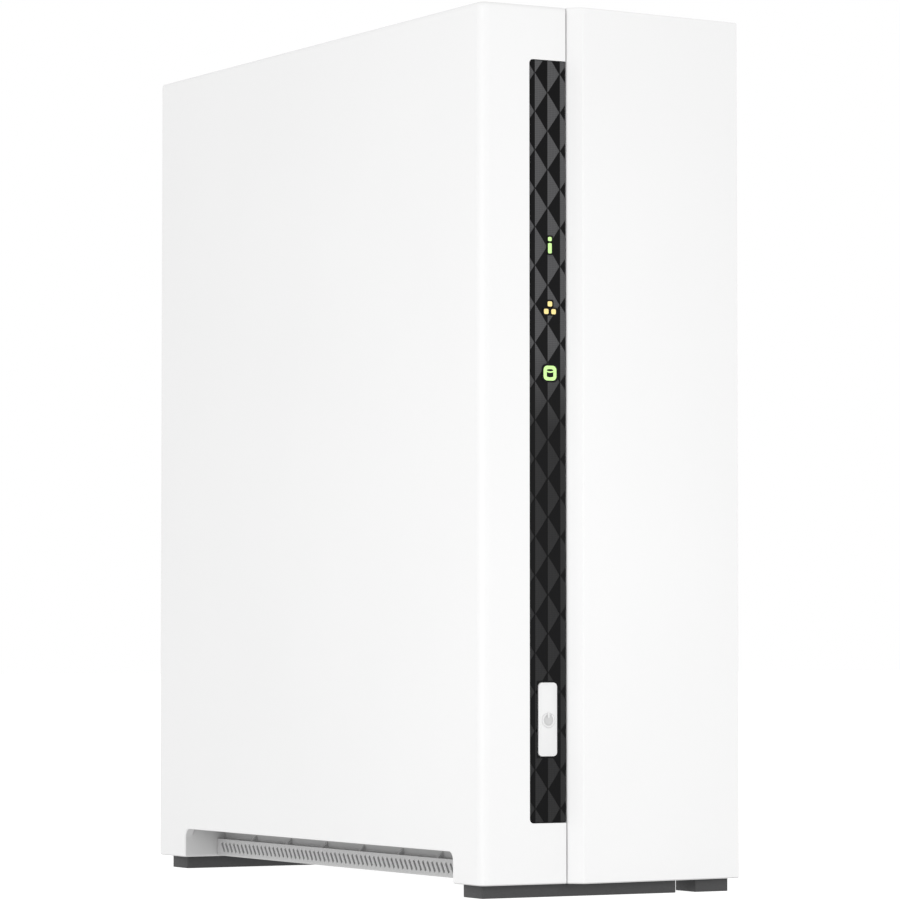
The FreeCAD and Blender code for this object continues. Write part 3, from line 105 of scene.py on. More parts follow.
def tint(color, factor):
    return tuple(min(1.0, c * factor) for c in color)


def moulded(name, color, rough, grain=3600.0, depth=0.000012, vary=0.02, strength=0.35, **constants):
    """Moulded plastic: a fine spark texture, faint broad shade and gloss variation."""
    mat, tree, bsdf = shader(name, color, rough, **constants)
    broad = noise(tree, 22.0, 2.0)
    tree.links.new(ramp(tree, broad, [(0.3, tint(color, 1 - vary)), (0.7, tint(color, 1 + vary))]),
                   bsdf.inputs["Base Color"])
    fine = noise(tree, grain, 2.0)
    tree.links.new(ramp(tree, fine, [(0.25, (rough - 0.06,) * 3), (0.75, (rough + 0.06,) * 3)]),
                   bsdf.inputs["Roughness"])
    bump(tree, bsdf, fine, strength, depth)
    return mat


def compare(tree, value, low, high):
    """One where a coordinate lies between two places in mm, otherwise zero."""
    node = tree.nodes.new("ShaderNodeMath")
    node.operation = "COMPARE"
    tree.links.new(value, node.inputs[0])
    node.inputs[1].default_value = 0.5 * (low + high) * MM
    node.inputs[2].default_value = 0.5 * (high - low) * MM
    return node.outputs[0]


def combine(tree, operation, first, second):
    node = tree.nodes.new("ShaderNodeMath")
    node.operation = operation
    tree.links.new(first, node.inputs[0])
    tree.links.new(second, node.inputs[1])
    return node.outputs[0]


# Extents, in mm, of the painted shade inside the side recess and along the underside.
LIP = 0.5
BELOW = 1.0
END_MARGIN = 0.4
TOP_MARGIN = 0.3
UNDERSIDE = 0.25


def painted_shade_plastic(name, color, shade, rough, vary):
    """The shells' plastic, with painted shade (a darker base colour) inside the side recess and on the
    underside.
    """
    mat = moulded(name, color, rough, vary=vary)
    tree = mat.node_tree
    bsdf = next(n for n in tree.nodes if n.type == "BSDF_PRINCIPLED")
    tray_low, tray_high = span("vent_tray")
    shell_low = span("left_shell")[0]
    cover_high = span("right_cover")[1]
    coords = tree.nodes.new("ShaderNodeTexCoord")
    parts = tree.nodes.new("ShaderNodeSeparateXYZ")
    tree.links.new(coords.outputs["Object"], parts.inputs["Vector"])
    x, y, z = parts.outputs
    across = compare(tree, x, shell_low.x + LIP, cover_high.x - LIP)
    along = compare(tree, y, tray_low.y - END_MARGIN, tray_high.y + END_MARGIN)
    up = compare(tree, z, shell_low.z - BELOW, tray_high.z + TOP_MARGIN)
    under = compare(tree, z, shell_low.z - BELOW, shell_low.z + UNDERSIDE)
    inside = combine(tree, "MULTIPLY", combine(tree, "MULTIPLY", across, along), up)
    # Painted shade: inside the recess and on the underside, the base colour is mixed towards the darker shade
    # colour.
    mix = tree.nodes.new("ShaderNodeMix")
    mix.data_type = "RGBA"
    tree.links.new(combine(tree, "MAXIMUM", inside, under), mix.inputs["Factor"])
    tree.links.new(bsdf.inputs["Base Color"].links[0].from_socket, mix.inputs["A"])
    mix.inputs["B"].default_value = (*shade, 1)
    tree.links.new(mix.outputs["Result"], bsdf.inputs["Base Color"])
    return mat


def metal(name, color, rough, grain=2500.0, stretch=(1, 1, 1), vary=0.06, depth=0.000006, **constants):
    """Metal with a brushed, cast or plated grain set by stretch."""
    constants.setdefault("Metallic", 1.0)
    mat, tree, bsdf = shader(name, color, rough, **constants)
    fine = noise(tree, grain, 3.0, stretch)
    broad = noise(tree, 60.0, 3.0)
    tree.links.new(ramp(tree, broad, [(0.3, tint(color, 1 - vary)), (0.7, tint(color, 1 + vary))]),
                   bsdf.inputs["Base Color"])
    tree.links.new(ramp(tree, fine, [(0.2, (max(rough - 0.08, 0.02),) * 3), (0.8, (rough + 0.1,) * 3)]),
                   bsdf.inputs["Roughness"])
    bump(tree, bsdf, fine, 0.25, depth)
    return mat


def lit(name, color, strength):
    """A lit lens with a faint diffuser grain in its glow."""
    mat, tree, bsdf = shader(name, tint(color, 0.15), 0.35, Specular_IOR_Level=0.2)
    grain = noise(tree, 2600.0, 2.0)
    glow = ramp(tree, grain, [(0.3, tint(color, 0.93)), (0.7, tint(color, 1.05))])
    tree.links.new(glow, bsdf.inputs["Emission Color"])
    bsdf.inputs["Emission Strength"].default_value = strength
    return mat


def circuit(name, mask, copper):
    """Solder mask over tracks: a fine grid of routes, a speckle of vias."""
    mat, tree, bsdf = shader(name, mask, 0.32)
    coords = tree.nodes.new("ShaderNodeTexCoord")
    brick = tree.nodes.new("ShaderNodeTexBrick")
    brick.inputs["Scale"].default_value = 130.0
    brick.inputs["Mortar Size"].default_value = 0.035
    brick.inputs["Color1"].default_value = (*mask, 1)
    brick.inputs["Color2"].default_value = (*tint(mask, 1.25), 1)
    brick.inputs["Mortar"].default_value = (*copper, 1)
    turned = tree.nodes.new("ShaderNodeMapping")
    turned.inputs["Rotation"].default_value = (0, math.radians(90), 0)
    tree.links.new(coords.outputs["Object"], turned.inputs["Vector"])
    tree.links.new(turned.outputs["Vector"], brick.inputs["Vector"])
    cells = tree.nodes.new("ShaderNodeTexVoronoi")
    cells.inputs["Scale"].default_value = 420.0
    tree.links.new(coords.outputs["Object"], cells.inputs["Vector"])
    dots = ramp(tree, cells.outputs["Distance"], [(0.10, (1, 1, 1)), (0.16, (0, 0, 0))])
    mix = tree.nodes.new("ShaderNodeMix")
    mix.data_type = "RGBA"
    tree.links.new(dots, mix.inputs["Factor"])
    tree.links.new(brick.outputs["Color"], mix.inputs["A"])
    mix.inputs["B"].default_value = (*tint(copper, 1.6), 1)
    tree.links.new(mix.outputs["Result"], bsdf.inputs["Base Color"])
    bump(tree, bsdf, brick.outputs["Fac"], 0.3, 0.00002)
    return mat


# Heights, as shares of the strip, over which the painted sheen fades.
SHEEN_FADE_LOW = 0.515
SHEEN_FADE_HIGH = 0.63


def facet(name, top, low, rough, hatch):
    """One side of the strip's facets: a colour that fades downwards, a painted sheen of light from above,
    under a fine crosshatch.
    """
    mat, tree, bsdf = shader(name, top, rough, Specular_IOR_Level=0.06)
    coords = tree.nodes.new("ShaderNodeTexCoord")
    parts = tree.nodes.new("ShaderNodeSeparateXYZ")
    tree.links.new(coords.outputs["Object"], parts.inputs["Vector"])
    # Painted sheen: the colour is top higher up and low further down, standing in for light from above
    # reflecting off the upper facets.
    sheen_fade = tree.nodes.new("ShaderNodeMapRange")
    strip_low, strip_high = span("light_strip")
    tall = strip_high.z - strip_low.z
    sheen_fade.inputs["From Min"].default_value = (strip_low.z + SHEEN_FADE_LOW * tall) * MM
    sheen_fade.inputs["From Max"].default_value = (strip_low.z + SHEEN_FADE_HIGH * tall) * MM
    tree.links.new(parts.outputs["Z"], sheen_fade.inputs["Value"])
    shade = ramp(tree, sheen_fade.outputs["Result"], [(0.0, low), (1.0, top)])
    mesh = tree.nodes.new("ShaderNodeTexChecker")
    mesh.inputs["Scale"].default_value = hatch
    mesh.inputs["Color1"].default_value = (1.12, 1.12, 1.12, 1)
    mesh.inputs["Color2"].default_value = (0.82, 0.82, 0.82, 1)
    turned = tree.nodes.new("ShaderNodeMapping")
    turned.inputs["Rotation"].default_value = (0, math.radians(45), 0)
    tree.links.new(coords.outputs["Object"], turned.inputs["Vector"])
    tree.links.new(turned.outputs["Vector"], mesh.inputs["Vector"])
    mix = tree.nodes.new("ShaderNodeMix")
    mix.data_type = "RGBA"
    mix.blend_type = "MULTIPLY"
    mix.inputs["Factor"].default_value = 1.0
    tree.links.new(shade, mix.inputs["A"])
    tree.links.new(mesh.outputs["Color"], mix.inputs["B"])
    tree.links.new(mix.outputs["Result"], bsdf.inputs["Base Color"])
    bump(tree, bsdf, mesh.outputs["Fac"], 0.15, 0.00001)
    return mat


MATERIALS = {
    # The shells' colours carry painted shade inside the side recess and on the underside.
    "white_plastic": painted_shade_plastic("white_plastic", (0.665,) * 3, (0.46,) * 3, 0.46, 0.006),
    "front_slab_plastic": painted_shade_plastic("front_slab_plastic", (0.68,) * 3, (0.46,) * 3, 0.46, 0.006),
    # Painted shade: the vent tray is white plastic, given a dark grey base colour that stands in for the
    # shade inside the side recess.
    "tray_plastic": moulded("tray_plastic", (0.41, 0.41, 0.41), 0.55, grain=2600.0, vary=0.015),
    "rear_panel_plastic": moulded("rear_panel_plastic", (0.69, 0.69, 0.69), 0.52, grain=2800.0, vary=0.012),
    "button_white": moulded("button_white", (0.62, 0.62, 0.62), 0.34, grain=5200.0, depth=0.000004),
    # Painted shade: a darker disc inside the power sign's ring.
    "dish_painted_shade": moulded("dish_painted_shade", (0.46, 0.46, 0.46), 0.40, grain=5200.0, depth=0.000004),
    # Painted shadow: a grey band just below the raised power sign.
    "ring_shade": moulded("ring_shade", (0.53, 0.53, 0.53), 0.40, grain=5200.0, depth=0.000004),
    "tin": metal("tin", (0.70, 0.70, 0.69), 0.30, grain=2200.0),
    "dark_rubber": moulded("dark_rubber", (0.036, 0.036, 0.037), 0.62, grain=1900.0, depth=0.00002,
                           vary=0.08),
    "black_plastic": moulded("black_plastic", (0.018, 0.018, 0.019), 0.42, grain=2600.0, vary=0.15),
    "black_epoxy": moulded("black_epoxy", (0.022, 0.022, 0.024), 0.58, grain=3400.0, vary=0.15),
    "ceramic_white": moulded("ceramic_white", (0.78, 0.76, 0.70), 0.40, grain=3000.0),
    "cable_white": moulded("cable_white", (0.72, 0.72, 0.70), 0.45, grain=2200.0),
    "cable_black": moulded("cable_black", (0.02, 0.02, 0.02), 0.42, grain=2200.0),
    "strip_gloss": moulded("strip_gloss", (0.005, 0.005, 0.0055), 0.2, grain=900.0, depth=0.000002,
                           Specular_IOR_Level=0.05),
    "facet_dark": facet("facet_dark", (0.0022, 0.0022, 0.0025), (0.0022, 0.0022, 0.0025), 0.3, 3600.0),
    # facet_light carries a painted sheen: lighter at the top of the strip than lower down.
    "facet_light": facet("facet_light", (0.067, 0.067, 0.069), (0.0215, 0.0215, 0.022), 0.45, 3600.0),
    "green_lens": lit("green_lens", (0.60, 0.93, 0.34), 1.0),
    "amber_lens": lit("amber_lens", (0.93, 0.75, 0.30), 1.0),
    "clear_guide": moulded("clear_guide", (0.93, 0.96, 0.97), 0.08, grain=300.0,
                           Transmission_Weight=0.9, IOR=1.49),
    "board_green": circuit("board_green", (0.012, 0.085, 0.045), (0.03, 0.16, 0.08)),
    "aluminium": metal("aluminium", (0.60, 0.61, 0.62), 0.42, grain=1400.0, depth=0.00002),
    "heatsink_metal": metal("heatsink_metal", (0.35, 0.36, 0.38), 0.38, grain=1500.0, stretch=(1, 1, 0.05)),
    "bright_steel": metal("bright_steel", (0.68, 0.69, 0.70), 0.28, grain=1800.0, stretch=(1, 1, 0.04)),
    "plated_steel": metal("plated_steel", (0.72, 0.72, 0.73), 0.20, grain=1800.0, stretch=(1, 0.1, 1)),
    "zinc_steel": metal("zinc_steel", (0.44, 0.45, 0.47), 0.34, grain=500.0),
    "ceramic_brown": moulded("ceramic_brown", (0.42, 0.30, 0.20), 0.42, grain=3000.0),
    "gold": metal("gold", (0.83, 0.60, 0.25), 0.25, grain=1500.0),
    "platter_mirror": metal("platter_mirror", (0.86, 0.86, 0.87), 0.05, grain=300.0, vary=0.01),
    "magnet_steel": metal("magnet_steel", (0.62, 0.63, 0.65), 0.24, grain=900.0),
    "copper": metal("copper", (0.72, 0.34, 0.18), 0.32, grain=1600.0, stretch=(1, 0.1, 1)),
    "label": moulded("label", (0.74, 0.75, 0.76), 0.40, grain=2400.0, depth=0.000002),
    "label_band": moulded("label_band", (0.18, 0.27, 0.36), 0.40, grain=2400.0, depth=0.000002),
}

for entry in frame["record"]["subparts"]:
    target = nodes[entry["node"]]
    for place in target.material_slots:
        place.material = MATERIALS[entry["material_slot"]]


# ---------------------------------------------------------------- making meshes

PLACES = {
    "x": lambda u, v, w: (w, u, v),
    "y": lambda u, v, w: (u, w, v),
    "z": lambda u, v, w: (u, v, w),
}


def circle(centre, radius, sides):
    return [(centre[0] + radius * math.cos(a), centre[1] + radius * math.sin(a)) for a in ring(sides)]


class Maker:
    """Gathers bevelled solids, in millimetres, into one mesh."""

    def __init__(self):
        self.mesh = bmesh.new()
        self.materials = []

    def index(self, material):
        if material not in self.materials:
            self.materials.append(material)
        return self.materials.index(material)

    def take(self, part, material, bevel, segments):
        if bevel:
            sharp = [e for e in part.edges if e.is_manifold and e.calc_face_angle(0) > math.radians(28)]
            bmesh.ops.bevel(part, geom=sharp, offset=bevel, segments=segments, profile=0.5,
                            affect="EDGES", clamp_overlap=True)
        which = self.index(material)
        for face in part.faces:
            face.material_index = which
        scratch = bpy.data.meshes.new("scratch")
        part.to_mesh(scratch)
        self.mesh.from_mesh(scratch)
        bpy.data.meshes.remove(scratch)
        part.free()

    def box(self, low, high, material, bevel=0.0, segments=2, turn=None):
        part = bmesh.new()
        bmesh.ops.create_cube(part, size=1.0)
        low, high = Vector(low), Vector(high)
        size = high - low
        matrix = Matrix.Translation((low + high) / 2) @ Matrix.Diagonal((*size, 1))
        bmesh.ops.transform(part, matrix=matrix, verts=part.verts)
        if turn:
            bmesh.ops.transform(part, matrix=turn, verts=part.verts)
        self.take(part, material, bevel, segments)

    def prism(self, outline, axis, start, end, material, bevel=0.0, segments=2):
        """An outline of (u, v) points, anticlockwise, carried along an axis."""
        part = bmesh.new()
        place = PLACES[axis]
        near = [part.verts.new(place(u, v, start)) for u, v in outline]
        far = [part.verts.new(place(u, v, end)) for u, v in outline]
        part.faces.new(near)
        part.faces.new(far)
        for k in range(len(outline)):
            n = (k + 1) % len(outline)
            part.faces.new((near[k], near[n], far[n], far[k]))
        bmesh.ops.recalc_face_normals(part, faces=part.faces)
        self.take(part, material, bevel, segments)

    def rod(self, axis, centre, radius, start, end, material, bevel=0.0, sides=48, segments=2):
        self.prism(circle(centre, radius, sides), axis, start, end, material, bevel, segments)

    def frame(self, outer, inner, axis, start, end, material):
        """A flat ring between two outlines that have the same number of points."""
        part = bmesh.new()
        place = PLACES[axis]
        loops = [[part.verts.new(place(u, v, level)) for u, v in outline]
                 for outline, level in ((outer, start), (outer, end), (inner, end), (inner, start))]
        for a, b in zip(loops, loops[1:] + loops[:1]):
            for k in range(len(outer)):
                n = (k + 1) % len(outer)
                part.faces.new((a[k], a[n], b[n], b[k]))
        bmesh.ops.recalc_face_normals(part, faces=part.faces)
        self.take(part, material, 0.0, 1)

    def tube(self, axis, centre, outer, inner, start, end, material, sides=64):
        """A ring with square edges."""
        self.frame(circle(centre, outer, sides), circle(centre, inner, sides), axis, start, end, material)

    def done(self, name, body, replaced=()):
        data = bpy.data.meshes.new(name)
        bmesh.ops.scale(self.mesh, vec=(MM, MM, MM), verts=self.mesh.verts)
        self.mesh.to_mesh(data)
        self.mesh.free()
        for material in self.materials:
            data.materials.append(MATERIALS[material])
        for polygon in data.polygons:
            polygon.use_smooth = True
        data.set_sharp_from_angle(angle=math.radians(32))
        piece = bpy.data.objects.new(name, data)
        bpy.context.scene.collection.objects.link(piece)
        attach(piece, body)
        if replaced:
            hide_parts(*replaced)


def ring(sides):
    return [2 * math.pi * k / sides for k in range(sides)]


def rounded_rectangle(low, high, radius, steps=6):
    """Anticlockwise outline of a rectangle with round corners."""
    points = []
    corners = (
        (high[0] - radius, high[1] - radius, 0), (low[0] + radius, high[1] - radius, 90),
        (low[0] + radius, low[1] + radius, 180), (high[0] - radius, low[1] + radius, 270),
    )
    for u, v, start in corners:
        for k in range(steps + 1):
            angle = math.radians(start + 90 * k / steps)
            points.append((u + radius * math.cos(angle), v + radius * math.sin(angle)))
    return points


# ---------------------------------------------------------------- front: wedge, strip, icons, button

def front_panel():
    """The wedge-shaped slab: a chamfer beside the seam, then a face that falls back to the right."""
    low, high = span("front_panel")
    strip_plane = span("left_shell")[0].y
    chamfer_run = 2.65
    taper = 3.57
    outline = [
        (low.x, high.y), (low.x, strip_plane), (low.x + chamfer_run, low.y),
        (high.x, low.y + taper), (high.x, high.y),
    ]
    maker = Maker()
    maker.prism(outline, "z", low.z, high.z, "front_slab_plastic", bevel=0.32, segments=3)
    maker.done("front_panel_slab", "cover", ["front_panel"])


def clip(polygon, axis, limit, keep_above):
    """Cuts a convex polygon of (x, z) points at a straight line."""
    result = []
    for k, here in enumerate(polygon):
        there = polygon[(k + 1) % len(polygon)]
        inside = (here[axis] >= limit) == keep_above
        next_inside = (there[axis] >= limit) == keep_above
        if inside:
            result.append(here)
        if inside != next_inside:
            part = (limit - here[axis]) / (there[axis] - here[axis])
            result.append(tuple(a + (b - a) * part for a, b in zip(here, there)))
    return result


def clipped(polygon, low, high):
    for axis in (0, 1):
        polygon = clip(polygon, axis, low[axis], True) if polygon else polygon
        polygon = clip(polygon, axis, high[axis], False) if polygon else polygon
    return polygon


FACET_RUN = 3.08
FACET_RISE = 8.185
RIDGE_HIGH = 0.20
APEX_HIGH = 0.04


def add_facet(maker, corners, heights, area, base_y, material):
    """A tilted triangle standing on the strip, cut to a rectangle of it."""
    (x0, z0), (x1, z1), (x2, z2) = corners
    determinant = (x1 - x0) * (z2 - z0) - (x2 - x0) * (z1 - z0)

    def height(x, z):
        one = ((x - x0) * (z2 - z0) - (x2 - x0) * (z - z0)) / determinant
        two = ((x1 - x0) * (z - z0) - (x - x0) * (z1 - z0)) / determinant
        return heights[0] + one * (heights[1] - heights[0]) + two * (heights[2] - heights[0])

    polygon = clipped(list(corners), *area)
    if len(polygon) < 3:
        return
    part = bmesh.new()
    top = [part.verts.new((x, base_y - height(x, z), z)) for x, z in polygon]
    foot = [part.verts.new((x, base_y + 0.05, z)) for x, z in polygon]
    bmesh.ops.remove_doubles(part, verts=part.verts, dist=1e-6)
    if len(part.verts) < 2 * len(polygon):
        part.free()
        return
    part.faces.new(top)
    part.faces.new(foot)
    for k in range(len(polygon)):
        n = (k + 1) % len(polygon)
        part.faces.new((top[k], top[n], foot[n], foot[k]))
    bmesh.ops.recalc_face_normals(part, faces=part.faces)
    maker.take(part, material, 0.0, 1)


def light_strip():
    """Black plate with the button's opening, covered with diamonds: dark left halves, light right halves."""
    low, high = span("light_strip")
    button_low, button_high = span("power_button")
    gap = 0.3
    hole_low = (button_low.x - gap, BUTTON_BASE - gap)
    hole_high = (button_high.x + gap, BUTTON_TOP + gap)
    base_y = low.y + 0.26
    edge = 0.12
    maker = Maker()
    areas = (
        ((low.x, low.z), (high.x, hole_low[1])),
        ((low.x, hole_high[1]), (high.x, high.z)),
        ((low.x, hole_low[1]), (hole_low[0], hole_high[1])),
        ((hole_high[0], hole_low[1]), (high.x, hole_high[1])),
    )
    for (x0, z0), (x1, z1) in areas:
        maker.box((x0, base_y, z0), (x1, high.y, z1), "strip_gloss")
    column = high.x - 1.32
    first_top = high.z - 2.8
    for step in range(-1, 5):
        x = column - step * FACET_RUN
        shift = 0 if step % 2 == 0 else FACET_RISE / 2
        for row in range(-2, 22):
            top = first_top + shift - row * FACET_RISE
            bottom = top - FACET_RISE
            middle = (top + bottom) / 2
            for way, material in ((-1, "facet_dark"), (1, "facet_light")):
                corners = ((x, top), (x, bottom), (x + way * FACET_RUN, middle))
                for (x0, z0), (x1, z1) in areas:
                    inset_low = (x0 + (edge if x0 == low.x else 0), z0 + (edge if z0 == low.z else 0))
                    inset_high = (x1, z1 - (edge if z1 == high.z else 0))
                    area = (inset_low, inset_high)
                    add_facet(maker, corners, (RIDGE_HIGH, RIDGE_HIGH, APEX_HIGH), area, base_y, material)
    for outline in icon_outlines(0.3).values():
        for points in outline:
            maker.prism(points, "y", low.y - 0.02, base_y + 0.1, "strip_gloss")
    outer = rounded_rectangle(hole_low, hole_high, 0.02, 8)
    wall = 0.16
    inner_low = (hole_low[0] + wall, hole_low[1] + wall)
    inner_high = (hole_high[0] - wall, hole_high[1] - wall)
    inner = rounded_rectangle(inner_low, inner_high, 0.95, 8)
    maker.frame(outer, inner, "y", low.y, high.y, "strip_gloss")
    maker.done("light_strip_facets", "chassis", ["light_strip"])


DOT_GAP = 0.35
LAN_SIDE = 1.15


def icon_outlines(grow):
    """The outlines of the three lit icons, grown by a margin."""
    status_low, status_high = span("status_lens")
    wide = status_high.x - status_low.x
    status = []
    bar = (status_low.z, status_high.z - wide - DOT_GAP)
    dot = (status_high.z - wide, status_high.z)
    for base, top in (bar, dot):
        corner = (status_high.x + grow, top + grow)
        status.append(rounded_rectangle((status_low.x - grow, base - grow), corner, 0.3))
    lan_low, lan_high = span("lan_lens")
    side = LAN_SIDE
    top_square = ((lan_low.x + lan_high.x) / 2 - side / 2, lan_high.z - side)
    squares = []
    for u, v in (top_square, (lan_low.x, lan_low.z), (lan_high.x - side, lan_low.z)):
        squares.append(rounded_rectangle((u - grow, v - grow), (u + side + grow, v + side + grow), 0.32))
    disk_low, disk_high = span("disk_lens")
    disk_corner = (disk_high.x + grow, disk_high.z + grow)
    square = rounded_rectangle((disk_low.x - grow, disk_low.z - grow), disk_corner, 0.95)
    return {"status_lens": status, "lan_lens": squares, "disk_lens": [square]}


def icons():
    """The lit shapes, a hair below the top of their black surrounds."""
    front = span("light_strip")[0].y - 0.03
    for name, outlines in icon_outlines(0.0).items():
        low, high = span(name)
        material = "amber_lens" if name == "lan_lens" else "green_lens"
        maker = Maker()
        for points in outlines:
            maker.prism(points, "y", front, high.y, material, bevel=0.05, segments=2)
        if name == "disk_lens":
            disk_glyph(maker, low, high, front)
        maker.done(name + "_shape", "chassis", [name])


def disk_glyph(maker, low, high, front):
    """A drum in black on the square lens: an oval lid, a lit gap, and the body under it."""
    x = (low.x + high.x) / 2
    half = 0.8
    tall = 0.24
    lid = high.z - 0.98
    gap = 0.3
    base = low.z + 0.95
    oval = [(x + half * math.cos(a), lid + tall * math.sin(a)) for a in ring(28)]
    maker.prism(oval, "y", front - 0.02, front + 0.2, "strip_gloss")
    steps = 14
    arcs = [math.pi + math.pi * k / steps for k in range(steps + 1)]
    body = [(x + half * math.cos(a), base + tall * math.sin(a)) for a in arcs]
    body += [(x + half * math.cos(a), lid - gap + tall * math.sin(a)) for a in reversed(arcs)]
    for k in range(steps):
        piece = [body[k], body[k + 1], body[-k - 2], body[-k - 1]]
        maker.prism(piece, "y", front - 0.02, front + 0.2, "strip_gloss")


CAP_INSET = 1.7
BUTTON_BASE = span("power_button")[0].z + CAP_INSET
BUTTON_TOP = span("power_button")[1].z - CAP_INSET
SIGN_Z = 37.3
SIGN_RADIUS = 1.33
SIGN_LINE = 0.22
SIGN_OPENING = math.radians(34)


def power_sign(maker, x, front):
    """The raised sign: a ring that is open at the top, with a bar in the opening."""
    around = 12
    steps = 36
    sign = bmesh.new()
    hoops = []
    for k in range(steps + 1):
        angle = math.pi / 2 + SIGN_OPENING + (2 * math.pi - 2 * SIGN_OPENING) * k / steps
        hoop = []
        for turn in ring(around):
            reach = SIGN_RADIUS + SIGN_LINE * math.cos(turn)
            point = (x + reach * math.cos(angle), front - 1.1 * SIGN_LINE * math.sin(turn),
                     SIGN_Z + reach * math.sin(angle))
            hoop.append(sign.verts.new(point))
        hoops.append(hoop)
    for one, two in zip(hoops, hoops[1:]):
        for k in range(around):
            n = (k + 1) % around
            sign.faces.new((one[k], one[n], two[n], two[k]))
    sign.faces.new(hoops[0])
    sign.faces.new(hoops[-1])
    bmesh.ops.recalc_face_normals(sign, faces=sign.faces)
    maker.take(sign, "button_white", 0.0, 1)
    half = 0.2
    maker.box((x - half, front - 0.22, SIGN_Z + 0.5), (x + half, front + 0.3, SIGN_Z + SIGN_RADIUS + 0.32),
              "button_white", bevel=0.08)


def power_button():
    """Cap with a rounded rim and a raised power sign round a disc of painted shade, a painted shadow below
    the sign, and the hidden flange behind.
    """
    low, high = span("power_button")
    x = (low.x + high.x) / 2
    rim = 0.42
    sides = 40
    maker = Maker()
    cap = rounded_rectangle((low.x, BUTTON_BASE), (high.x, BUTTON_TOP), 0.9, 8)
    face = rounded_rectangle((low.x + rim, BUTTON_BASE + rim), (high.x - rim, BUTTON_TOP - rim), 0.6, 8)
    maker.prism(cap, "y", low.y + 0.06, high.y, "button_white", bevel=0.24, segments=4)
    maker.prism(face, "y", low.y + 0.015, low.y + 0.5, "button_white", bevel=0.05, segments=2)
    maker.box((low.x, high.y - 1.0, low.z), (high.x - 0.3, high.y, high.z), "button_white", bevel=0.15)
    power_sign(maker, x, low.y)
    # Painted shadow: a grey band just outside and below the raised ring.
    shade = circle((x, SIGN_Z - 0.06), SIGN_RADIUS + 0.3, sides)
    maker.frame(shade, circle((x, SIGN_Z), SIGN_RADIUS, sides), "y", low.y + 0.01, low.y + 0.2, "ring_shade")
    # Painted shade: a darker grey disc inside the ring, where the raised ring shades the face.
    maker.prism(circle((x, SIGN_Z), SIGN_RADIUS - 0.12, sides), "y", low.y + 0.005, low.y + 0.3, "dish_painted_shade")
    maker.done("power_button_cap", "power_button", ["power_button"])


FOOT_BODIES = {
    "foot_front_long": "chassis",
    "foot_rear_long": "chassis",
    "foot_front_short": "cover",
    "foot_rear_short": "cover",
}


def feet():
    """Rubber bars with softened edges."""
    for name, body in FOOT_BODIES.items():
        low, high = span(name)
        maker = Maker()
        maker.prism(rounded_rectangle((low.x, low.y), (high.x, high.y), 0.35, 4), "z", low.z, high.z,
                    "dark_rubber", bevel=0.14, segments=2)
        maker.done(name + "_bar", body, [name])


# ---------------------------------------------------------------- recess, board, jacks

def tray_gussets():
    """Small webs that brace the set-back band of the vent tray against its shoulder, on both sides."""
    low, high = span("vent_tray")
    shoulder = low.z + 4.0
    step = 2.0
    pitch = 18.0
    maker = Maker()
    for edge, way in ((low.x, 1), (high.x, -1)):
        for k in range(7):
            y = high.y - 17.0 - k * pitch
            outline = [(edge + way * 0.35, shoulder - 0.2), (edge + way * (step + 0.1), shoulder - 0.2),
                       (edge + way * (step + 0.1), shoulder + 1.5)]
            maker.prism(outline, "y", y, y + 0.7, "tray_plastic", bevel=0.05, segments=1)
    maker.done("tray_gussets", "chassis")


def islands(name):
    """The boxes of a CAD node's separate solids, in millimetres."""
    mesh = nodes[name].data
    parent = list(range(len(mesh.vertices)))

    def root(k):
        while parent[k] != k:
            parent[k] = parent[parent[k]]
            k = parent[k]
        return k

    for edge in mesh.edges:
        one, two = root(edge.vertices[0]), root(edge.vertices[1])
        parent[max(one, two)] = min(one, two)
    boxes = {}
    for vertex in mesh.vertices:
        point = vertex.co / MM
        key = tuple(round(c, 3) for c in point)
        low, high = boxes.setdefault(root(vertex.index), (point.copy(), point.copy()))
        for axis in range(3):
            low[axis] = min(low[axis], key[axis])
            high[axis] = max(high[axis], key[axis])
    merged = []
    for low, high in sorted(boxes.values(), key=lambda pair: -(pair[1] - pair[0]).length):
        middle = (low + high) / 2
        if not any(all(a[n] - 0.01 <= middle[n] <= b[n] + 0.01 for n in range(3)) for a, b in merged):
            merged.append((low, high))
    return merged


LEG_INSET = 0.9
LEG_PARTS = ((0.31, 0.45, 0.05, 0.83), (0.35, 0.9, 0.0, 0.28))


def chip(maker, low, high, leg_pitch=None):
    """A black package with a dimple at pin one, and gull-wing legs along both sides if it has a leg pitch."""
    inset = LEG_INSET if leg_pitch else 0.0
    inner_low = Vector((low.x + 0.15, low.y + inset, low.z))
    inner_high = Vector((high.x, high.y - inset, high.z))
    maker.box(inner_low, inner_high, "black_epoxy", bevel=0.12)
    pin_one = (inner_low.y + 1.1, inner_high.z - 1.1)
    maker.rod("x", pin_one, 0.45, high.x - 0.05, high.x + 0.01, "black_plastic")
    if not leg_pitch:
        return
    half = leg_pitch * 0.2
    start, end = inner_low.z + 0.7, inner_high.z - 0.7
    count = int((end - start) / leg_pitch) + 1
    for edge, way in ((inner_low.y, -1), (inner_high.y, 1)):
        for k in range(count):
            place = start + (end - start - (count - 1) * leg_pitch) / 2 + k * leg_pitch
            for inner, outer, base, top in LEG_PARTS:
                near, far = sorted((edge + way * inner, edge + way * outer))
                maker.box((low.x + base, near, place - half), (low.x + top, far, place + half), "tin")


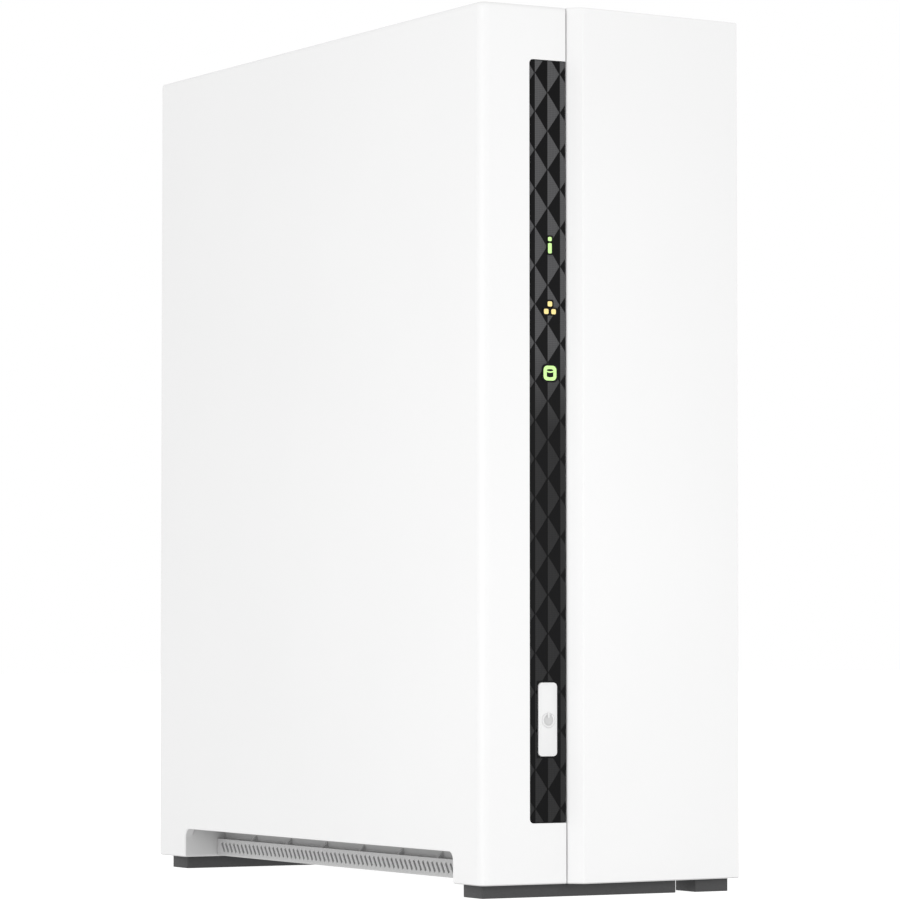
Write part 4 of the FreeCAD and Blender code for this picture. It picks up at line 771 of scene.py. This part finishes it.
def packages():
    maker = Maker()
    for low, high in islands("memory_chips"):
        chip(maker, low, high)
    maker.done("memory_packages", "chassis", ["memory_chips"])
    maker = Maker()
    low, high = span("network_transformer")
    chip(maker, low, high, leg_pitch=1.27)
    maker.done("network_transformer_package", "chassis", ["network_transformer"])
    maker = Maker()
    low, high = span("processor")
    maker.box((low.x, low.y, low.z), (low.x + 0.5, high.y, high.z), "board_green")
    maker.box((low.x + 0.5, low.y + 0.8, low.z + 0.8), (high.x, high.y - 0.8, high.z - 0.8), "black_epoxy",
              bevel=0.1)
    maker.done("processor_package", "chassis", ["processor"])


def inductors():
    maker = Maker()
    for low, high in islands("inductors"):
        middle = (low + high) / 2
        radius = (high.y - low.y) / 2
        outline = rounded_rectangle((low.y, low.z), (high.y, high.z), 1.2, 5)
        maker.prism(outline, "x", low.x + 0.1, low.x + 1.0, "black_plastic", bevel=0.1)
        maker.rod("x", (middle.y, middle.z), radius * 0.78, low.x + 0.9, high.x - 0.5, "copper", sides=36)
        maker.rod("x", (middle.y, middle.z), radius * 0.95, high.x - 0.7, high.x, "black_epoxy", bevel=0.15,
                  sides=36)
        for way in (-1, 1):
            near, far = sorted((middle.y + way * radius, middle.y + way * (radius - 1.2)))
            maker.box((low.x, near, middle.z - 1.4), (low.x + 0.5, far, middle.z + 1.4), "tin", bevel=0.05)
    maker.done("inductor_coils", "chassis", ["inductors"])


def capacitor_cans():
    """Aluminium cans with a crimped waist, a dark mark on top and a base plate."""
    maker = Maker()
    for low, high in islands("capacitors"):
        middle = (low + high) / 2
        centre = (middle.y, middle.z)
        radius = (high.y - low.y) / 2 - 0.2
        base = low.x + 0.8
        maker.prism(rounded_rectangle((low.y, low.z), (high.y, high.z), 0.8, 3), "x", low.x, base,
                    "black_plastic", bevel=0.08)
        maker.rod("x", centre, radius, base, base + 0.9, "aluminium", bevel=0.2)
        maker.rod("x", centre, radius * 0.9, base + 0.7, base + 1.5, "aluminium")
        maker.rod("x", centre, radius, base + 1.3, high.x, "aluminium", bevel=0.35, segments=4)
        steps = 18
        mark = radius - 0.45
        turns = [math.pi * (0.25 + k / steps * 0.8) for k in range(steps + 1)]
        segment = [(centre[0] + mark * math.cos(a), centre[1] + mark * math.sin(a)) for a in turns]
        maker.prism(segment, "x", high.x - 0.1, high.x + 0.01, "black_plastic")
    maker.done("capacitor_cans", "chassis", ["capacitors"])


def cell():
    """Lithium cell: a crimped steel can with a stepped cap, and the holder's spring finger over it."""
    low, high = span("coin_cell")
    centre = ((low.y + high.y) / 2, (low.z + high.z) / 2)
    radius = (high.y - low.y) / 2
    maker = Maker()
    maker.rod("x", centre, radius * 0.9, low.x, low.x + 0.8, "bright_steel", bevel=0.2)
    maker.rod("x", centre, radius, low.x + 0.5, high.x, "bright_steel", bevel=0.3, segments=4, sides=72)
    maker.tube("x", centre, radius * 0.86, radius * 0.83, high.x - 0.05, high.x + 0.03, "tin")
    maker.box((high.x, centre[0] - 2.0, centre[1] + radius * 0.35),
              (high.x + 0.25, centre[0] + 2.0, centre[1] + radius), "tin", bevel=0.08)
    maker.done("coin_cell_can", "chassis", ["coin_cell"])


LARGE_PARTS = (
    "processor", "heatsink", "memory_chips", "network_transformer", "inductors", "capacitors", "cell_holder",
    "buzzer", "board_headers", "fan_plug", "ethernet_jack", "usb_jack_low", "usb_jack_high", "dc_jack",
    "reset_switch", "board_screws",
)
CLEARANCE = 1.6


def small_parts():
    """Chip resistors and capacitors in rows on the mainboard, between the larger parts."""
    low, high = span("mainboard")
    surface = high.x
    keep_out = []
    for name in LARGE_PARTS:
        for one, two in islands(name):
            keep_out.append((one.y - CLEARANCE, two.y + CLEARANCE, one.z - CLEARANCE, two.z + CLEARANCE))
    maker = Maker()
    count = 0
    y = low.y + 3.5
    while y < high.y - 4:
        z = low.z + 4.0
        while z < high.z - 4:
            count += 1
            clear = not any(a < y < b and c < z < d for a, b, c, d in keep_out)
            if clear and (count * 7) % 11 < 6:
                upright = (count * 5) % 7 < 3
                long, wide, tall = (1.6, 0.8, 0.55) if (count * 3) % 5 < 3 else (2.0, 1.25, 0.9)
                half = (wide / 2, long / 2) if upright else (long / 2, wide / 2)
                body = "black_epoxy" if (count * 3) % 4 < 2 else "ceramic_brown"
                maker.box((surface, y - half[0] * 0.92, z - half[1] * 0.92),
                          (surface + tall, y + half[0] * 0.92, z + half[1] * 0.92), body, bevel=0.05,
                          segments=1)
                for way in (-1, 1):
                    if upright:
                        near, far = sorted((z + way * half[1], z + way * (half[1] - 0.3)))
                        end_low = (surface, y - half[0], near)
                        end_high = (surface + tall + 0.02, y + half[0], far)
                    else:
                        near, far = sorted((y + way * half[0], y + way * (half[0] - 0.3)))
                        end_low = (surface, near, z - half[1])
                        end_high = (surface + tall + 0.02, far, z + half[1])
                    maker.box(end_low, end_high, "tin", bevel=0.04, segments=1)
            z += 3.4
        y += 4.1
    maker.done("board_small_parts", "chassis")


def jack_contacts():
    """Gold wires in the network jack, and blades and a dark end on each USB tongue."""
    low, high = span("ethernet_jack")
    maker = Maker()
    for k in range(8):
        z = (low.z + high.z) / 2 + (k - 3.5) * 1.02
        slant = math.radians(24)
        turn = (Matrix.Translation((low.x + 3.4, high.y - 9.0, z)) @ Matrix.Rotation(slant, 4, "Z")
                @ Matrix.Translation((-low.x - 3.4, 9.0 - high.y, -z)))
        maker.box((low.x + 3.2, high.y - 12.5, z - 0.2), (low.x + 3.6, high.y - 3.5, z + 0.2), "gold",
                  turn=turn)
    maker.done("ethernet_contacts", "chassis")
    for name in ("usb_jack_low", "usb_jack_high"):
        low, high = span(name)
        maker = Maker()
        for k in range(4):
            z = (low.z + high.z) / 2 + (k - 1.5) * 2.3
            maker.box((low.x + 4.55, high.y - 10.0, z - 0.55), (low.x + 4.68, high.y - 1.6, z + 0.55), "gold")
        maker.box((low.x + 2.95, high.y - 1.05, low.z + 1.4), (low.x + 4.55, high.y - 0.96, high.z - 1.4),
                  "black_plastic", bevel=0.03, segments=1)
        maker.done(name + "_contacts", "chassis")


def header_pins():
    """Two rows of gold pins along each header."""
    rows = 2
    half = 0.25
    maker = Maker()
    for low, high in islands("board_headers"):
        deep = high.y - low.y
        tall = high.z - low.z
        lies_along_y = deep > tall
        count = int(deep / 2.0) if lies_along_y else int(tall / 1.0)
        for k in range(count):
            share = (k + 0.5) / count
            for row in range(rows):
                other = (row + 0.5) / rows
                across, up = (share, other) if lies_along_y else (other, share)
                y, z = low.y + across * deep, low.z + up * tall
                maker.box((high.x - 0.3, y - half, z - half), (high.x + 0.12, y + half, z + half), "gold")
    maker.done("header_pins", "chassis")


def board_leds():
    maker = Maker()
    for low, high in islands("front_leds"):
        maker.box((low.x, low.y + 0.25, low.z), (high.x, high.y, high.z), "ceramic_white", bevel=0.05,
                  segments=1)
        middle = (low + high) / 2
        maker.rod("y", (middle.x, middle.z), 0.55, low.y, low.y + 0.4, "clear_guide", bevel=0.15, sides=24)
    maker.done("front_led_packages", "chassis", ["front_leds"])


def drive_dress():
    """Pressed lid with a raised plateau over the platters, and a blank label with a coloured band."""
    low, high = span("drive_lid")
    spindle_low, spindle_high = span("platter_stack")
    centre = ((spindle_low.y + spindle_high.y) / 2, (spindle_low.z + spindle_high.z) / 2)
    outline = rounded_rectangle((low.y, low.z), (high.y, high.z), 2.0, 8)
    maker = Maker()
    maker.prism(outline, "x", low.x, high.x, "bright_steel", bevel=0.2)
    maker.rod("x", centre, 46.0, high.x - 0.2, high.x + 0.3, "bright_steel", bevel=0.25, sides=96, segments=3)
    maker.rod("x", centre, 9.0, high.x, high.x + 0.45, "bright_steel", bevel=0.15, sides=48)
    arm_low, arm_high = span("coil_magnets")
    pivot = rounded_rectangle((arm_low.y - 24.0, arm_low.z - 6.0), (arm_high.y + 1.0, arm_high.z + 12.0), 5.0,
                              6)
    maker.prism(pivot, "x", high.x - 0.2, high.x + 0.25, "bright_steel", bevel=0.2, segments=3)
    maker.done("drive_lid_pressed", "drive", ["drive_lid"])
    maker = Maker()
    label_low = (low.y + 7.5, centre[1] - 30.0)
    label_high = (high.y - 7.5, centre[1] + 36.0)
    maker.prism(rounded_rectangle(label_low, label_high, 2.5, 6), "x", high.x + 0.28, high.x + 0.5, "label")
    maker.box((high.x + 0.4, label_low[0] + 3.0, label_high[1] - 11.0),
              (high.x + 0.53, label_high[0] - 3.0, label_high[1] - 4.0), "label_band")
    maker.done("drive_label", "drive")
    board_low = span("drive_board")[0]
    maker = Maker()
    for y, z, deep, tall in ((-14.0, 60.0, 14.0, 14.0), (12.0, 74.0, 9.0, 12.0), (30.0, 52.0, 8.0, 8.0),
                             (-36.0, 82.0, 6.0, 5.0)):
        maker.box((board_low.x - 0.15, y - deep / 2, z - tall / 2),
                  (board_low.x + 0.3, y + deep / 2, z + tall / 2), "black_epoxy", bevel=0.06, segments=1)
    maker.done("drive_board_chips", "drive")


def fan_hub_label():
    low, high = span("fan_rotor")
    centre = ((low.x + high.x) / 2, (low.z + high.z) / 2)
    maker = Maker()
    maker.rod("y", centre, 9.5, low.y - 0.08, low.y + 0.02, "label", sides=64)
    maker.rod("y", centre, 2.2, low.y - 0.12, low.y, "label_band", sides=32)
    maker.done("fan_hub_label", "fan_rotor")


front_panel()
light_strip()
icons()
power_button()
feet()
tray_gussets()
packages()
inductors()
capacitor_cans()
cell()
small_parts()
jack_contacts()
header_pins()
board_leds()
drive_dress()
fan_hub_label()


# ---------------------------------------------------------------- room, lights, camera

CAMERA_PLACE = Vector((-0.47684, -0.85737, 0.05336))
CAMERA_HEADING = math.radians(29.235)
CAMERA_RISE = math.radians(2.584)
CAMERA_LENS = 171.78


def camera():
    data = bpy.data.cameras.new("camera")
    data.lens = CAMERA_LENS
    data.sensor_width = 36.0
    data.clip_start = 0.01
    data.clip_end = 50.0
    item = bpy.data.objects.new("camera", data)
    item.location = CAMERA_PLACE
    item.rotation_euler = (math.radians(90) + CAMERA_RISE, 0.0, -CAMERA_HEADING)
    bpy.context.scene.collection.objects.link(item)
    bpy.context.scene.camera = item


FLOOR_HALF = 6.0
FLOOR_GLOW = 0.92
LEFT_POWER = 0.36
FRONT_POWER = 0.47
CEILING_POWER = 0.45


def floor():
    """A pale floor with a glow of its own, so that it stays white and shows no shadow."""
    data = bpy.data.meshes.new("floor")
    half = FLOOR_HALF
    corners = [(-half, -half, 0), (half, -half, 0), (half, half, 0), (-half, half, 0)]
    data.from_pydata(corners, [], [(0, 1, 2, 3)])
    item = bpy.data.objects.new("floor", data)
    bpy.context.scene.collection.objects.link(item)
    mat, tree, bsdf = shader("floor_paper", (0.28, 0.28, 0.28), 0.9)
    grain = ramp(tree, noise(tree, 3.0, 2.0), [(0.3, (0.275,) * 3), (0.7, (0.285,) * 3)])
    tree.links.new(grain, bsdf.inputs["Base Color"])
    bsdf.inputs["Emission Color"].default_value = (1.0, 1.0, 1.0, 1.0)
    bsdf.inputs["Emission Strength"].default_value = FLOOR_GLOW
    data.materials.append(mat)


def area_light(name, place, aim, size, power):
    data = bpy.data.lights.new(name, "AREA")
    data.shape = "RECTANGLE"
    data.size, data.size_y = size
    data.energy = power
    item = bpy.data.objects.new(name, data)
    item.location = place
    item.rotation_euler = (Vector(aim) - Vector(place)).to_track_quat("-Z", "Y").to_euler()
    bpy.context.scene.collection.objects.link(item)


def lights():
    world = bpy.data.worlds.new("studio")
    bpy.context.scene.world = world
    world.use_nodes = True
    background = next(n for n in world.node_tree.nodes if n.type == "BACKGROUND")
    background.inputs["Color"].default_value = (1.0, 1.0, 1.0, 1.0)
    background.inputs["Strength"].default_value = 1.0
    area_light("left_front_box", (-0.33, -0.24, 0.085), (-0.02, -0.06, 0.080), (0.22, 0.22), LEFT_POWER)
    area_light("front_box", (0.20, -0.58, 0.095), (0.0, -0.07, 0.085), (0.30, 0.30), FRONT_POWER)
    data = bpy.data.lights.new("ceiling", "SUN")
    data.energy = CEILING_POWER
    data.angle = math.radians(120)
    item = bpy.data.objects.new("ceiling", data)
    item.location = (0.0, 0.0, 2.0)
    bpy.context.scene.collection.objects.link(item)


camera()
floor()
lights()
bpy.context.scene.view_settings.view_transform = "Standard"
